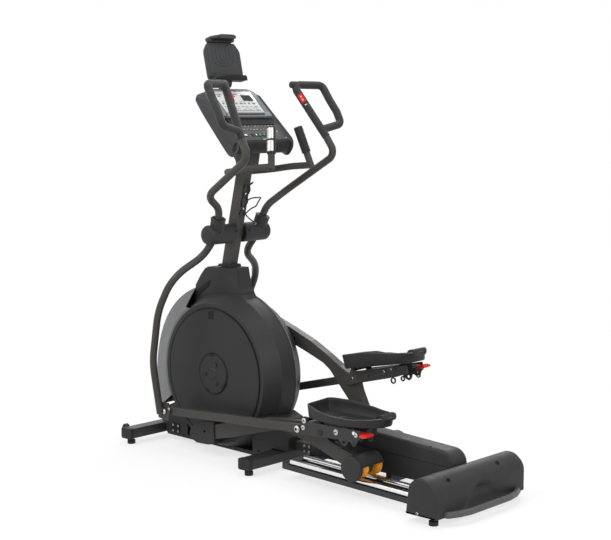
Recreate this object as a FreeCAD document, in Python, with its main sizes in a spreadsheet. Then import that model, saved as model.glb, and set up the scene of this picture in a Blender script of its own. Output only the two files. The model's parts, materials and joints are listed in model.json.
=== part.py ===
"""Front-drive elliptical trainer, built as a parametric assembly of separate pieces.

Millimetres, +Z up, +X towards the rear (the side the user steps on from), left = -Y.
The origin is the middle of the footprint, on the floor. Every piece is drawn from the crank
axis, a pivot or a joint of the linkage, and its Placement puts that datum in the machine.
"""
import FreeCAD, Part
import math
import os
from FreeCAD import Placement, Rotation, Vector
import Sketcher

os.makedirs("parts", exist_ok=True)
doc = FreeCAD.newDocument("elliptical_trainer")

# ---------------------------------------------------------------- driving dimensions
SIZES = {
    # reach of the machine from the crank axis
    "rear_reach": 1576,
    # clearances
    "running_gap": 0.3, "journal_gap": 0.05, "side_gap": 2.5, "seat_gap": 0.3,
    # crank set
    "crank_height": 397, "crank_radius": 283, "axle_radius": 15,
    "disc_radius": 319, "disc_face": 130, "disc_rim_depth": 26, "disc_wall": 5,
    "arm_plate": 12, "arm_width": 50, "cap_radius": 99, "cap_thickness": 4,
    "notch_width": 12, "notch_length": 26,
    # drive inside the drum
    "pulley_radius": 185, "pulley_width": 16, "belt_plane": 35.5, "belt_thickness": 3,
    "small_pulley_radius": 22, "flywheel_forward": 345, "flywheel_height": 268,
    "flywheel_radius": 118, "flywheel_width": 34, "flywheel_axle_radius": 8,
    "idler_radius": 20, "idler_along": 110, "idler_pin_radius": 5,
    # drum housing
    "drum_radius": 390, "seam_half": 45, "rim_radius": 344, "cover_face": 126,
    "cover_wall": 4, "drum_floor": 45, "tower_top": 912, "recess_gap": 4,
    "cover_bore": 40, "trim_edge_radius": 357, "base_cover_half": 88,
    "skirt_height": 26,
    # base frame and stabilizers
    "spine_bottom": 80, "spine_depth": 50, "spine_width": 80, "tube_wall": 3,
    "stabilizer_width": 70, "stabilizer_height": 50, "front_stabilizer_x": 451,
    "mid_stabilizer_x": 401, "rear_stabilizer_x": 1480, "rear_stabilizer_width": 60,
    "stabilizer_half": 290, "rear_stabilizer_half": 288, "stabilizer_cap": 22,
    "plug_thickness": 8, "foot_radius": 20, "foot_pad": 18, "foot_stem_radius": 6,
    "foot_y": 278,
    "wheel_radius": 22, "wheel_width": 22, "wheel_height": 66, "wheel_y": 262,
    "wheel_axle_radius": 4, "lug_gap": 1, "lug_thickness": 3,
    # rails
    "rail_radius": 13, "rail_front": 606, "rail_rear": 1446, "inner_rail_y": 115,
    "outer_rail_y": 205, "rail_front_height": 86, "rail_slope": 1.0, "beam_width": 30,
    "beam_depth": 24, "cross_bar_depth": 40,
    # centre and rear covers
    "centre_half": 52, "centre_front": 622, "centre_rear": 1405, "centre_top_front": 272,
    "centre_top_rear": 240, "centre_nose_radius": 25, "centre_tail_radius": 62,
    "cover_edge_radius": 15,
    "rear_cover_half": 312, "rear_cover_front": 1357, "rear_ridge_x": 1417,
    "rear_ridge_z": 191, "rear_cover_back": 1518, "rear_front_radius": 30,
    "rear_back_radius": 60, "handle_half": 246, "handle_radius": 14, "handle_height": 43,
    # mast and swing pivot
    "mast_depth": 60, "mast_width": 46, "mast_lean": 13.2, "mast_top": 1440,
    "pivot_x": 34, "pivot_height": 1079, "pivot_shaft_radius": 12, "pivot_from_mast": 12,
    "hub_radius": 47, "hub_inner": 29, "hub_outer": 196, "sleeve_radius": 35,
    "sleeve_top": 102, "hub_cap": 3,
    # swing arms, from the pivot down to the joint at the arm's foot
    "arm_foot_height": 159, "arm_tube_radius": 17.5, "arm_tube_wall": 2.5,
    "grip_radius": 19, "button_place": 0.72, "button_length": 38, "button_width": 14,
    "button_rise": 3, "button_travel": 1.5,
    "foot_plate_y": 241, "foot_plate_thickness": 8, "foot_bolt_radius": 6,
    # roller arm ("link") from crank pin to rollers
    "link_length": 1009, "link_y": 157, "link_width": 40, "link_wall": 3,
    "pin_radius": 10, "pivot_along": 683, "pivot_up": 128,
    "roller_radius": 44, "roller_width": 34, "roller_flange": 50, "roller_axle_radius": 9,
    "roller_plate_outer": 253, "roller_plate_inner": 236, "roller_disc_radius": 57,
    # pedal arm and pedal
    "pedal_arm_length": 902, "bar_depth": 38, "bar_width": 30, "bar_y": 223,
    "cheek_thickness": 4, "cheek_inner": 120, "bridge_height": 26, "pivot_pin_radius": 8,
    "lever_inner": 196, "lever_along": 350, "lever_up": 8, "lever_pin_radius": 4,
    "pedal_front": 38, "pedal_rear": 450, "pedal_inner": 55, "pedal_outer": 262,
    "pedal_base": 62, "pedal_thickness": 8, "pedal_wall": 6, "pedal_rim": 40,
    "pedal_tilt": -3.0, "pedal_pin_along": 46, "pedal_pin_up": 42, "pedal_pin_radius": 6,
    # handlebar, console and tablet holder
    "bar_radius": 16, "post_x": 407, "post_z": 1414, "post_y": 131, "post_grip_start": 62,
    "post_length": 128, "pulse_radius": 19, "plate_radius": 20.5,
    "console_lean": 46, "console_width": 366, "console_length": 331,
    "console_low_x": 228, "console_low_z": 1520,
    "holder_width": 240, "holder_height": 196, "holder_base_x": -26, "holder_base_z": 1812,
    "holder_lean": 13, "holder_thickness": 10, "ledge_depth": 34, "clamp_width": 170,
    "clamp_rise": 24, "neck_bottom": 1396, "bar_nose_height": 1372, "face_thickness": 14,
    "display_low": 170, "display_height": 150, "display_width": 226, "display_depth": 4,
    "cage_bottom": 1142, "cage_radius": 40, "cage_height": 190, "cage_wire": 3,
}

sheet = doc.addObject("Spreadsheet::Sheet", "Sizes")


class Size:
    """A length that knows its value and the expression that gives it in the sheet."""

    def __init__(self, value, text):
        self.value = value
        self.text = text

    def join(self, other, sign, value):
        return Size(value, f"({self.text} {sign} {words(other)})")

    def __add__(self, other):
        return self.join(other, "+", self.value + number(other))

    def __sub__(self, other):
        return self.join(other, "-", self.value - number(other))

    def __mul__(self, other):
        return self.join(other, "*", self.value * number(other))

    def __truediv__(self, other):
        return self.join(other, "/", self.value / number(other))

    def __rsub__(self, other):
        return Size(number(other) - self.value, f"({words(other)} - {self.text})")

    def __neg__(self):
        return Size(-self.value, f"(0 - {self.text})")

    __radd__ = __add__
    __rmul__ = __mul__


def number(size):
    return size.value if isinstance(size, Size) else float(size)


def words(size):
    return size.text if isinstance(size, Size) else f"({float(size):.6f})"


class Sheet:
    """Attribute access to the spreadsheet: S.disc_radius is the cell with that alias."""

    def __init__(self):
        self.row = 0

    def add(self, name, value):
        self.row += 1
        sheet.set(f"A{self.row}", name)
        sheet.set(f"B{self.row}", f"{value:.6f}")
        sheet.setAlias(f"B{self.row}", name)
        setattr(self, name, Size(float(value), f"Sizes.{name}"))


S = Sheet()
for size_name, size_value in SIZES.items():
    S.add(size_name, size_value)
doc.recompute()

# ---------------------------------------------------------------- values worked out from them
S.add("swing_radius", S.pivot_height.value - S.arm_foot_height.value)
FIRST_CRANK_ANGLE = -91.0          # left crank pin at rest, degrees above +X; the right is opposite
SWING_REFERENCE = 16.35            # forward lean of the swing arm in which its tube is drawn
SIDES = {"left": -1, "right": 1}


def point_at(origin, angle, length):
    """The point at an angle above +X, in the XZ plane."""
    turn = math.radians(angle)
    return (origin[0] + length * math.cos(turn), origin[1] + length * math.sin(turn))


def solve_linkage(crank_angle):
    """Joint places (x from the crank axis, z) and the lean of each arm for one crank angle."""
    slope = math.radians(S.rail_slope.value)
    pin = point_at((0, S.crank_height.value), crank_angle, S.crank_radius.value)
    front_height = S.rail_front_height.value + S.rail_radius.value + S.roller_radius.value
    # the roller axis runs on the line z = front_height - (x - rail_front) * tan(slope)
    start = (S.rail_front.value, front_height)
    along = (math.cos(slope), -math.sin(slope))
    offset = (start[0] - pin[0], start[1] - pin[1])
    half = offset[0] * along[0] + offset[1] * along[1]
    rest = offset[0] ** 2 + offset[1] ** 2 - S.link_length.value ** 2
    reach = -half + math.sqrt(half ** 2 - rest)
    roller = (start[0] + reach * along[0], start[1] + reach * along[1])
    link_angle = math.degrees(math.atan2(roller[1] - pin[1], roller[0] - pin[0]))
    pivot = point_at(point_at(pin, link_angle, S.pivot_along.value),
                     link_angle + 90, S.pivot_up.value)
    # the arm's foot lies on a circle about the mast pivot and one about the pedal arm pivot
    mast = (S.pivot_x.value, S.pivot_height.value)
    span = math.dist(mast, pivot)
    near = (S.swing_radius.value ** 2 - S.pedal_arm_length.value ** 2 + span ** 2) / (2 * span)
    side = math.sqrt(S.swing_radius.value ** 2 - near ** 2)
    unit = ((pivot[0] - mast[0]) / span, (pivot[1] - mast[1]) / span)
    foot = (mast[0] + near * unit[0] + side * unit[1], mast[1] + near * unit[1] - side * unit[0])
    swing_lean = math.degrees(math.atan2(mast[0] - foot[0], mast[1] - foot[1]))
    bar_angle = math.degrees(math.atan2(pivot[1] - foot[1], pivot[0] - foot[0]))
    return {"pin": pin, "roller": roller, "pivot": pivot, "foot": foot, "mast": mast,
            "link_angle": link_angle, "swing_lean": swing_lean, "bar_angle": bar_angle}


LINKAGE = {"left": solve_linkage(FIRST_CRANK_ANGLE), "right": solve_linkage(FIRST_CRANK_ANGLE + 180)}
S.add("wheel_x", S.front_stabilizer_x.value + S.stabilizer_width.value / 2
      + S.side_gap.value + S.wheel_radius.value)
S.add("crank_x", (S.wheel_x.value + S.wheel_radius.value - S.rear_reach.value) / 2)
for side_name, places in LINKAGE.items():
    for joint in ("pin", "roller", "pivot", "foot"):
        S.add(f"{side_name}_{joint}_x", places[joint][0])
        S.add(f"{side_name}_{joint}_z", places[joint][1])
    print(side_name, {key: value for key, value in places.items()})
doc.recompute()


# ---------------------------------------------------------------- drawing helpers
def bind(thing, prop, size):
    """Set a property, and tie it to the sheet when the size comes from there."""
    if isinstance(size, Size):
        thing.setExpression(prop, size.text)
    else:
        setattr(thing, prop, size)


def place(thing, x=0.0, y=0.0, z=0.0, rotation=None):
    """Put a piece's datum at x (from the crank axis), y, z."""
    far = S.crank_x + x
    thing.Placement = Placement(Vector(number(far), number(y), number(z)), rotation or Rotation())
    thing.setExpression("Placement.Base.x", far.text)
    for axis, size in (("y", y), ("z", z)):
        if isinstance(size, Size):
            thing.setExpression(f"Placement.Base.{axis}", size.text)


def lean(angle):
    """Rotation that lifts a local +X by an angle above the horizontal, in the XZ plane."""
    return Rotation(Vector(0, 1, 0), -angle)


def new_body(name):
    body = doc.addObject("PartDesign::Body", name)
    body.Label = name
    return body


def origin_plane(body, role):
    return next(item for item in body.Origin.OriginFeatures if item.Role == role)


def new_sketch(body, role, offset):
    """A sketch on one of the body's origin planes, moved along its normal."""
    sketch = body.newObject("Sketcher::SketchObject", f"{body.Name}Sketch")
    sketch.AttachmentSupport = (origin_plane(body, role), [""])
    sketch.MapMode = "FlatFace"
    sketch.AttachmentOffset = Placement(Vector(0, 0, number(offset)), Rotation())
    if isinstance(offset, Size):
        sketch.setExpression("AttachmentOffset.Base.z", offset.text)
    return sketch


def fix_point(sketch, geometry, end, x, y):
    for kind, size in (("DistanceX", x), ("DistanceY", y)):
        row = sketch.addConstraint(Sketcher.Constraint(kind, -1, 1, geometry, end, number(size)))
        if isinstance(size, Size):
            sketch.setExpression(f"Constraints[{row}]", size.text)


def draw_outline(sketch, points):
    """A closed outline of straight lines through the points, each point dimensioned."""
    first = sketch.GeometryCount
    for start, end in zip(points, points[1:] + points[:1]):
        line = Part.LineSegment(Vector(number(start[0]), number(start[1]), 0),
                                Vector(number(end[0]), number(end[1]), 0))
        sketch.addGeometry(line, False)
    count = len(points)
    for index in range(count):
        after = first + (index + 1) % count
        sketch.addConstraint(Sketcher.Constraint("Coincident", first + index, 2, after, 1))
    for index, point in enumerate(points):
        fix_point(sketch, first + index, 1, *point)


def draw_circle(sketch, x, y, radius):
    circle = Part.Circle(Vector(number(x), number(y), 0), Vector(0, 0, 1), number(radius))
    index = sketch.addGeometry(circle, False)
    fix_point(sketch, index, 3, x, y)
    row = sketch.addConstraint(Sketcher.Constraint("Radius", index, number(radius)))
    if isinstance(radius, Size):
        sketch.setExpression(f"Constraints[{row}]", radius.text)


def rounded(body, feature, direction, radius, chosen=None):
    """Fillet the straight edges of a feature that run along a direction."""
    doc.recompute()
    names = []
    for index, edge in enumerate(feature.Shape.Edges):
        if not isinstance(edge.Curve, (Part.Line, Part.LineSegment)):
            continue
        run = edge.Vertexes[-1].Point - edge.Vertexes[0].Point
        if run.Length < 1e-6 or abs(run.normalize().dot(direction)) < 0.999:
            continue
        if chosen is None or chosen(edge.CenterOfMass):
            names.append(f"Edge{index + 1}")
    fillet = body.newObject("PartDesign::Fillet", f"{body.Name}Fillet")
    fillet.Base = (feature, names)
    bind(fillet, "Radius", radius)
    return fillet


def pad(body, role, outlines, low, high, circles=()):
    """Pad outlines from low to high along the plane's own axis; inner outlines are holes."""
    towards = -1 if role == "XZ_Plane" else 1
    sketch = new_sketch(body, role, -high if towards < 0 else low)
    for outline in outlines:
        draw_outline(sketch, outline)
    for circle in circles:
        draw_circle(sketch, *circle)
    feature = body.newObject("PartDesign::Pad", f"{body.Name}Pad")
    feature.Profile = sketch
    bind(feature, "Length", high - low)
    sketch.Visibility = False
    return feature


def pocket(body, role, outlines, low, high, circles=()):
    """Cut outlines from low to high along the plane's own axis."""
    towards = -1 if role == "XZ_Plane" else 1
    sketch = new_sketch(body, role, -low if towards < 0 else high)
    for outline in outlines:
        draw_outline(sketch, outline)
    for circle in circles:
        draw_circle(sketch, *circle)
    feature = body.newObject("PartDesign::Pocket", f"{body.Name}Pocket")
    feature.Profile = sketch
    bind(feature, "Length", high - low)
    sketch.Visibility = False
    return feature


def plate(name, outline, low, high, circles=(), role="XZ_Plane", corner=None, inner=()):
    """A flat piece: an outline in one plane, padded across it, with rounded corners."""
    body = new_body(name)
    feature = pad(body, role, [outline, *inner], low, high, circles)
    if corner is not None:
        axis = {"XZ_Plane": Vector(0, 1, 0), "XY_Plane": Vector(0, 0, 1),
                "YZ_Plane": Vector(1, 0, 0)}[role]
        rounded(body, feature, axis, corner)
    return body


def turned(name, profile):
    """A piece turned about the Y axis from (radius, y) points."""
    body = new_body(name)
    sketch = new_sketch(body, "XY_Plane", 0)
    draw_outline(sketch, profile)
    feature = body.newObject("PartDesign::Revolution", f"{name}Turn")
    feature.Profile = sketch
    feature.ReferenceAxis = (sketch, ["V_Axis"])
    feature.Angle = 360
    sketch.Visibility = False
    return body


def mirrored(low, high, side):
    """A span measured out from the middle plane, on one side of it."""
    return (low, high) if side > 0 else (-high, -low)


def rectangle(left, right, bottom, top):
    return [(left, bottom), (right, bottom), (right, top), (left, top)]


def box(name, length, width, height, x, y, z, rotation=None):
    """A Part::Box whose low corner is at x, y, z."""
    thing = doc.addObject("Part::Box", name)
    bind(thing, "Length", length)
    bind(thing, "Width", width)
    bind(thing, "Height", height)
    place(thing, x, y, z, rotation)
    return thing


ALONG_Y = Rotation(Vector(1, 0, 0), -90)


def cylinder(name, radius, height, x, y, z, rotation=None):
    """A Part::Cylinder that starts at x, y, z and runs along +Z, or where it is turned to."""
    thing = doc.addObject("Part::Cylinder", name)
    bind(thing, "Radius", radius)
    bind(thing, "Height", height)
    place(thing, x, y, z, rotation)
    return thing


def joined(name, pieces):
    """One welded solid."""
    thing = doc.addObject("Part::MultiFuse", name)
    thing.Shapes = pieces
    thing.Label = name
    return thing


def without(name, base, tool):
    thing = doc.addObject("Part::Cut", name)
    thing.Base = base
    thing.Tool = tool
    thing.Label = name
    return thing


def group(name, pieces):
    """Separate solids that share one node."""
    thing = doc.addObject("Part::Compound", name)
    thing.Links = pieces
    thing.Label = name
    return thing


def shaped(name, shape, x=0.0, y=0.0, z=0.0, rotation=None):
    """A Part::Feature for a form that sketches and primitives don't give."""
    thing = doc.addObject("Part::Feature", name)
    thing.Shape = shape
    thing.Label = name
    place(thing, x, y, z, rotation)
    return thing


def bent_path(points, bend):
    """Straight runs joined by tangent arcs of one radius, or less where a run is short."""
    edges = []
    last = Vector(*points[0])
    for before, corner, after in zip(points, points[1:], points[2:]):
        before, corner, after = Vector(*before), Vector(*corner), Vector(*after)
        back = (before - corner).normalize()
        on = (after - corner).normalize()
        half_turn = (math.pi - back.getAngle(on)) / 2
        room = 0.48 * min((before - corner).Length, (after - corner).Length)
        reach = min(bend * math.tan(half_turn), room)
        radius = reach / math.tan(half_turn)
        start = corner + back * reach
        end = corner + on * reach
        middle_way = (back + on).normalize()
        middle = corner + middle_way * (radius / math.cos(half_turn) - radius)
        if (start - last).Length > 0.01:
            edges.append(Part.LineSegment(last, start).toShape())
        edges.append(Part.Arc(start, middle, end).toShape())
        last = end
    edges.append(Part.LineSegment(last, Vector(*points[-1])).toShape())
    return Part.Wire(edges)


def rod(points, radius, bend):
    """A round bar along a bent path."""
    path = bent_path(points, bend)
    first = path.Edges[0]
    start = first.valueAt(first.FirstParameter)
    heading = first.tangentAt(first.FirstParameter)
    section = Part.Wire([Part.Circle(start, heading, radius).toShape()])
    return path.makePipeShell([section], True, False)


def tube(points, radius, wall, bend):
    """A round tube with open ends along a bent path."""
    return rod(points, radius, bend).cut(rod(points, radius - wall, bend))


PARTS = []


def keep(name, thing):
    """Name a finished piece; every kept piece is checked and written at the end."""
    thing.Label = name
    PARTS.append((name, thing))
    return thing


def drawn_here(thing):
    """Place a piece that is drawn about the crank axis' foot on the floor."""
    place(thing)
    return thing


# ---------------------------------------------------------------- frame and stabilizers
def square_tube(name, role, outline, low, high, corner=6):
    """A rectangular tube: outer outline, inner outline one wall inside it, rounded edges."""
    (left, bottom), (right, top) = outline
    wall = S.tube_wall
    body = new_body(name)
    inner = rectangle(left + wall, right - wall, bottom + wall, top - wall)
    feature = pad(body, role, [rectangle(left, right, bottom, top), inner], low, high)
    axis = Vector(0, 1, 0) if role == "XZ_Plane" else Vector(1, 0, 0)
    middle = (number(left) + number(right)) / 2
    reach = (number(right) - number(left)) / 2
    across = (lambda centre: centre.x) if role == "XZ_Plane" else (lambda centre: centre.y)
    rounded(body, feature, axis, corner,
            lambda centre: abs(abs(across(centre) - middle) - reach) < 0.1)
    return drawn_here(body)


def across_y(name, radius, low, high, x, z):
    """A round bar along Y from low to high, at x, z."""
    return cylinder(name, radius, high - low, x, low, z, ALONG_Y)


def drilled(name, base, holes):
    """A piece with holes cut through it: one Part::Cut per set of tools."""
    tool = joined(f"{name}Holes", holes) if len(holes) > 1 else holes[0]
    return without(name, base, tool)


S.add("flywheel_fork", 19)
S.add("fork_plate", 5)
S.add("bearing_radius", 31)
S.add("shell_wall", 7)
S.add("shell_half", 24)


def make_base_frame():
    half = S.spine_width / 2
    top = S.spine_bottom + S.spine_depth
    front = -(S.front_stabilizer_x + S.stabilizer_width / 2)
    spine = square_tube("Spine", "YZ_Plane", ((-half, S.spine_bottom), (half, top)),
                        front, S.rear_stabilizer_x + S.rear_stabilizer_width / 4)
    post = box("BottomBracketPost", 40, 40, S.crank_height - top - S.bearing_radius,
               -20, -20, top)
    shell = across_y("BottomBracketShell", S.bearing_radius + S.shell_wall, -S.shell_half,
                     S.shell_half, 0, S.crank_height)
    bore = across_y("BottomBracketBore", S.bearing_radius, -S.shell_half - 1,
                    S.shell_half + 1, 0, S.crank_height)
    pieces = [spine, post, shell]
    for side in (-1, 1):
        low, high = mirrored(S.flywheel_fork, S.flywheel_fork + S.fork_plate, side)
        reach = 28
        axle_z = S.flywheel_height
        outline = rectangle(-S.flywheel_forward - reach, -S.flywheel_forward + reach,
                            top - 1, axle_z + reach)
        pieces.append(drawn_here(plate(f"ForkPlate{side + 1}", outline, low, high)))
    axle_hole = across_y("ForkBore", S.flywheel_axle_radius + S.journal_gap, -40, 40,
                         -S.flywheel_forward, S.flywheel_height)
    welded = joined("WeldedFrame", pieces)
    keep("base_frame", drilled("base_frame", welded, [bore, axle_hole]))


def make_stabilizers():
    bottom = S.spine_bottom - S.stabilizer_height
    rows = [("front_stabilizer", -S.front_stabilizer_x, S.stabilizer_width, S.stabilizer_half),
            ("mid_stabilizer", S.mid_stabilizer_x, S.stabilizer_width, S.stabilizer_half),
            ("rear_stabilizer", S.rear_stabilizer_x, S.rear_stabilizer_width,
             S.rear_stabilizer_half)]
    caps = []
    feet = []
    for name, x, width, half in rows:
        tube_piece = square_tube(f"{name}Tube", "XZ_Plane",
                                 ((x - width / 2, bottom), (x + width / 2, S.spine_bottom)),
                                 -half, half)
        holes = []
        for side in (-1, 1):
            foot_y = S.foot_y * side
            holes.append(cylinder(f"{name}StemHole{side + 1}", S.foot_stem_radius + S.running_gap,
                                  S.tube_wall + 2, x, foot_y, bottom - 1))
            feet.append(make_foot(f"{name}Foot{side + 1}", x, foot_y, bottom))
            caps.append(make_stabilizer_cap(f"{name}Cap{side + 1}", x, width, half, side, bottom))
        drilled_tube = drilled(f"{name}Drilled", tube_piece, holes)
        if name == "front_stabilizer":
            keep(name, joined(name, [drilled_tube, *wheel_brackets()]))
        else:
            keep(name, drilled_tube)
    keep("stabilizer_caps", group("stabilizer_caps", caps))
    keep("levelling_feet", group("levelling_feet", feet))


def make_foot(name, x, y, bottom):
    pad_disc = cylinder(f"{name}Pad", S.foot_radius, S.foot_pad, x, y, 0)
    nut = cylinder(f"{name}Nut", S.foot_stem_radius + 5, bottom - S.foot_pad, x, y, S.foot_pad)
    stem = cylinder(f"{name}Stem", S.foot_stem_radius, bottom + 30, x, y, 0)
    return joined(name, [pad_disc, nut, stem])


def make_stabilizer_cap(name, x, width, half, side, bottom):
    """A moulded cap that closes the end of a stabilizer tube."""
    rise = 2
    low, high = mirrored(half, half + S.stabilizer_cap, side)
    if "rear" in name:
        low, high = mirrored(half, half + S.plug_thickness, side)
        rise = 0
    outline = rectangle(x - width / 2 - rise, x + width / 2 + rise, bottom - rise,
                        S.spine_bottom + rise)
    return drawn_here(plate(name, outline, low, high, corner=10))


def wheel_brackets():
    """Two pairs of lugs with an axle, on the front of the front stabilizer."""
    face = -(S.front_stabilizer_x + S.stabilizer_width / 2)
    pieces = []
    half = S.wheel_width / 2
    for side in (-1, 1):
        inner = S.wheel_y - half - S.lug_gap - S.lug_thickness
        outer = S.wheel_y + half + S.lug_gap
        for step, start in enumerate((inner, outer)):
            low, high = mirrored(start, start + S.lug_thickness, side)
            outline = [(-S.wheel_x - 9, S.wheel_height - 8), (face + 1, S.wheel_height - 22),
                       (face + 1, S.wheel_height + 6), (-S.wheel_x - 9, S.wheel_height + 8)]
            pieces.append(drawn_here(plate(f"WheelLug{side + 1}{step}", outline, low, high)))
        low, high = mirrored(inner, outer + S.lug_thickness, side)
        pieces.append(across_y(f"WheelAxle{side + 1}", S.wheel_axle_radius, low, high,
                               -S.wheel_x, S.wheel_height))
    return pieces


def make_transport_wheels():
    half = S.wheel_width / 2
    bore = S.wheel_axle_radius + S.journal_gap
    wheels = []
    for side_word, side in SIDES.items():
        profile = [(bore, -half), (S.wheel_radius - 3, -half), (S.wheel_radius, -half + 3),
                   (S.wheel_radius, half - 3), (S.wheel_radius - 3, half), (bore, half)]
        wheel = turned(f"{side_word}TransportWheel", profile)
        place(wheel, -S.wheel_x, S.wheel_y * side, S.wheel_height)
        wheels.append(wheel)
    keep("transport_wheels", group("transport_wheels", wheels))


def rail_height(x):
    """Height of the rail axes at x."""
    return S.rail_front_height - (x - S.rail_front) * math.tan(math.radians(S.rail_slope.value))


def make_rails():
    slope = S.rail_slope.value
    beam_start = S.rail_front - S.cross_bar_depth / 2 - 15
    rear_face = S.rear_stabilizer_x - S.rear_stabilizer_width / 2
    beams = []
    rods = []
    for side in (-1, 1):
        for row, rail_y in enumerate((S.inner_rail_y, S.outer_rail_y)):
            top = rail_height(beam_start) - S.rail_radius
            beams.append(box(f"RailBeam{side + 1}{row}",
                             (rear_face - beam_start) / math.cos(math.radians(slope)) - 0.5,
                             S.beam_width, S.beam_depth, beam_start,
                             rail_y * side - S.beam_width / 2, top - S.beam_depth,
                             lean(-slope)))
            rods.append(cylinder(f"GuideRod{side + 1}{row}", S.rail_radius,
                                 S.rail_rear - S.rail_front, S.rail_front, rail_y * side,
                                 rail_height(S.rail_front) + S.journal_gap,
                                 Rotation(Vector(0, 1, 0), 90 + slope)))
    half = S.outer_rail_y + S.beam_width / 2
    front_bottom = S.spine_bottom - 30
    front_bar = box("FrontCrossBar", S.cross_bar_depth, half * 2, 30,
                    S.rail_front - S.cross_bar_depth - 6, -half, front_bottom)
    middle_x = (S.rail_front + S.rail_rear) / 2
    middle_top = rail_height(middle_x) - S.rail_radius - 4
    middle_bar = box("MiddleCrossBar", 30, half * 2, 20, middle_x, -half, middle_top - 20)
    pedestal = box("MiddlePedestal", 30, S.spine_width, S.spine_bottom - middle_top + 5,
                   middle_x, -S.spine_width / 2, middle_top - 5)
    keep("rail_frame", joined("rail_frame", [*beams, front_bar, middle_bar, pedestal]))
    keep("guide_rails", group("guide_rails", rods))


def inset(points, gaps):
    """A clockwise outline with its sides moved inwards; gaps[n] is for the side after point n."""
    moved = []
    for index in range(len(points)):
        before, here, after = (Vector(*points[(index + step) % len(points)], 0)
                               for step in (-1, 0, 1))
        first, second = (here - before).normalize(), (after - here).normalize()
        turn = first.x * second.y - first.y * second.x
        corner = here + (first * gaps[index] - second * gaps[index - 1]) / turn
        moved.append((corner.x, corner.y))
    return moved


def bar_across(corners, radii, half, edge):
    """A bar across the machine: each corner of its side view has a radius, and so do its ends."""
    count = len(corners)
    points = [Vector(number(x), 0, number(z)) for x, z in corners]
    runs = []
    for index, radius in enumerate(radii):
        here = points[index]
        back = (points[index - 1] - here).normalize()
        ahead = (points[(index + 1) % count] - here).normalize()
        if number(radius) == 0:
            runs.append((here, None, here))
            continue
        opening = back.getAngle(ahead)
        reach = number(radius) / math.tan(opening / 2)
        middle = (back + ahead).normalize()
        depth = number(radius) / math.sin(opening / 2) - number(radius)
        runs.append((here + back * reach, here + middle * depth, here + ahead * reach))
    edges = []
    for index, (start, middle, end) in enumerate(runs):
        if middle is not None:
            edges.append(Part.Arc(start, middle, end).toShape())
        edges.append(Part.makeLine(end, runs[(index + 1) % count][0]))
    face = Part.Face(Part.Wire(edges))
    face.translate(Vector(0, -number(half), 0))
    bar = face.extrude(Vector(0, 2 * number(half), 0))
    floor = min(point.z for point in points)
    ends = [line for line in bar.Edges
            if abs(abs(line.CenterOfMass.y) - number(half)) < 1e-6
            and line.BoundBox.ZMax > floor + 1]
    return bar.makeFillet(number(edge), ends)


def hood_of(name, corners, radii, half, edge):
    """A cover that is open below: a rounded bar, hollowed to one wall."""
    wall = S.cover_wall
    gaps = [wall.value] * (len(corners) - 1) + [-1.0]
    corners = [(number(x), number(z)) for x, z in corners]
    outer = bar_across(corners, radii, half, edge)
    inner = bar_across(inset(corners, gaps), [max(number(radius) - wall.value, 0)
                                              for radius in radii],
                       half - wall, edge - wall)
    return shaped(name, outer.cut(inner))


def make_centre_cover():
    """A narrow ridge over the spine, which ends against the rear cover."""
    floor = S.spine_bottom + 5
    corners = [(S.centre_front, floor), (S.centre_front, S.centre_top_front),
               (S.centre_rear, S.centre_top_rear), (S.centre_rear, floor)]
    cover = hood_of("CentreCoverShell", corners, [0, S.centre_nose_radius,
                                                  S.centre_tail_radius, 0],
                    S.centre_half, S.cover_edge_radius)
    place(cover)
    half = S.spine_width / 2 + S.seat_gap
    spine_room = box("SpineRoom", S.centre_rear - S.centre_front + 20, half * 2,
                     S.spine_depth + S.seat_gap + 20, S.centre_front - 10, -half,
                     S.spine_bottom - 20)
    keep("centre_cover", drilled("centre_cover", cover, [spine_room]))


def make_rear_cover():
    """One smooth loaf over the rear stabilizer; the centre cover ends inside its front."""
    front, back = S.rear_cover_front, S.rear_cover_back
    floor = S.spine_bottom - S.stabilizer_height + 1
    sill = S.handle_height + S.handle_radius + 3
    corners = [(front, floor), (front + 4, floor + 33), (S.rear_ridge_x, S.rear_ridge_z),
               (back - 14, S.rear_ridge_z), (back, floor)]
    body = hood_of("RearCoverShell", corners, [0, 40, S.rear_front_radius, S.rear_back_radius, 0],
                   S.rear_cover_half, S.cover_edge_radius)
    place(body)
    reach = S.centre_half + S.seat_gap
    centre_room = box("CentreRoom", S.centre_rear + S.seat_gap - front + 10, reach * 2, 200,
                      front - 10, -reach, floor - 10)
    grip_half = S.handle_half + S.handle_radius * 2
    handle_room = box("HandleRoom", 60, grip_half * 2, sill - floor + 10, back - 35, -grip_half,
                      floor - 10)
    slots = []
    for side in (-1, 1):
        for row, rail_y in enumerate((S.inner_rail_y, S.outer_rail_y)):
            half = S.beam_width / 2 + 1
            top = rail_height(front) + S.rail_radius + 1
            slots.append(box(f"RailSlot{side + 1}{row}", 60, half * 2, top, front - 10,
                             rail_y * side - half, 0))
    keep("rear_cover", drilled("rear_cover", body, [centre_room, handle_room, *slots]))


def make_rear_handle():
    height = S.handle_height.value
    start = S.rear_stabilizer_x.value + S.rear_stabilizer_width.value / 2
    half = S.handle_half.value
    reach = S.rear_reach.value - S.handle_radius.value
    points = [(start, -half, height), (start + 18, -half, height), (reach - 12, -half + 50, height),
              (reach, -half + 110, height), (reach, half - 110, height),
              (reach - 12, half - 50, height), (start + 18, half, height), (start, half, height)]
    handle = shaped("rear_handle", rod(points, S.handle_radius.value, 60))
    keep("rear_handle", handle)


# ---------------------------------------------------------------- mast and swing pivot
def mast_x(height, offset=0.0):
    """Where a line parallel to the mast, offset to the rear of its centre, is at a height."""
    slope = math.tan(math.radians(S.mast_lean.value))
    centre = S.pivot_x.value - S.pivot_from_mast.value
    return (centre + (height - S.pivot_height.value) * slope
            + offset / math.cos(math.radians(S.mast_lean.value)))


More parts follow.
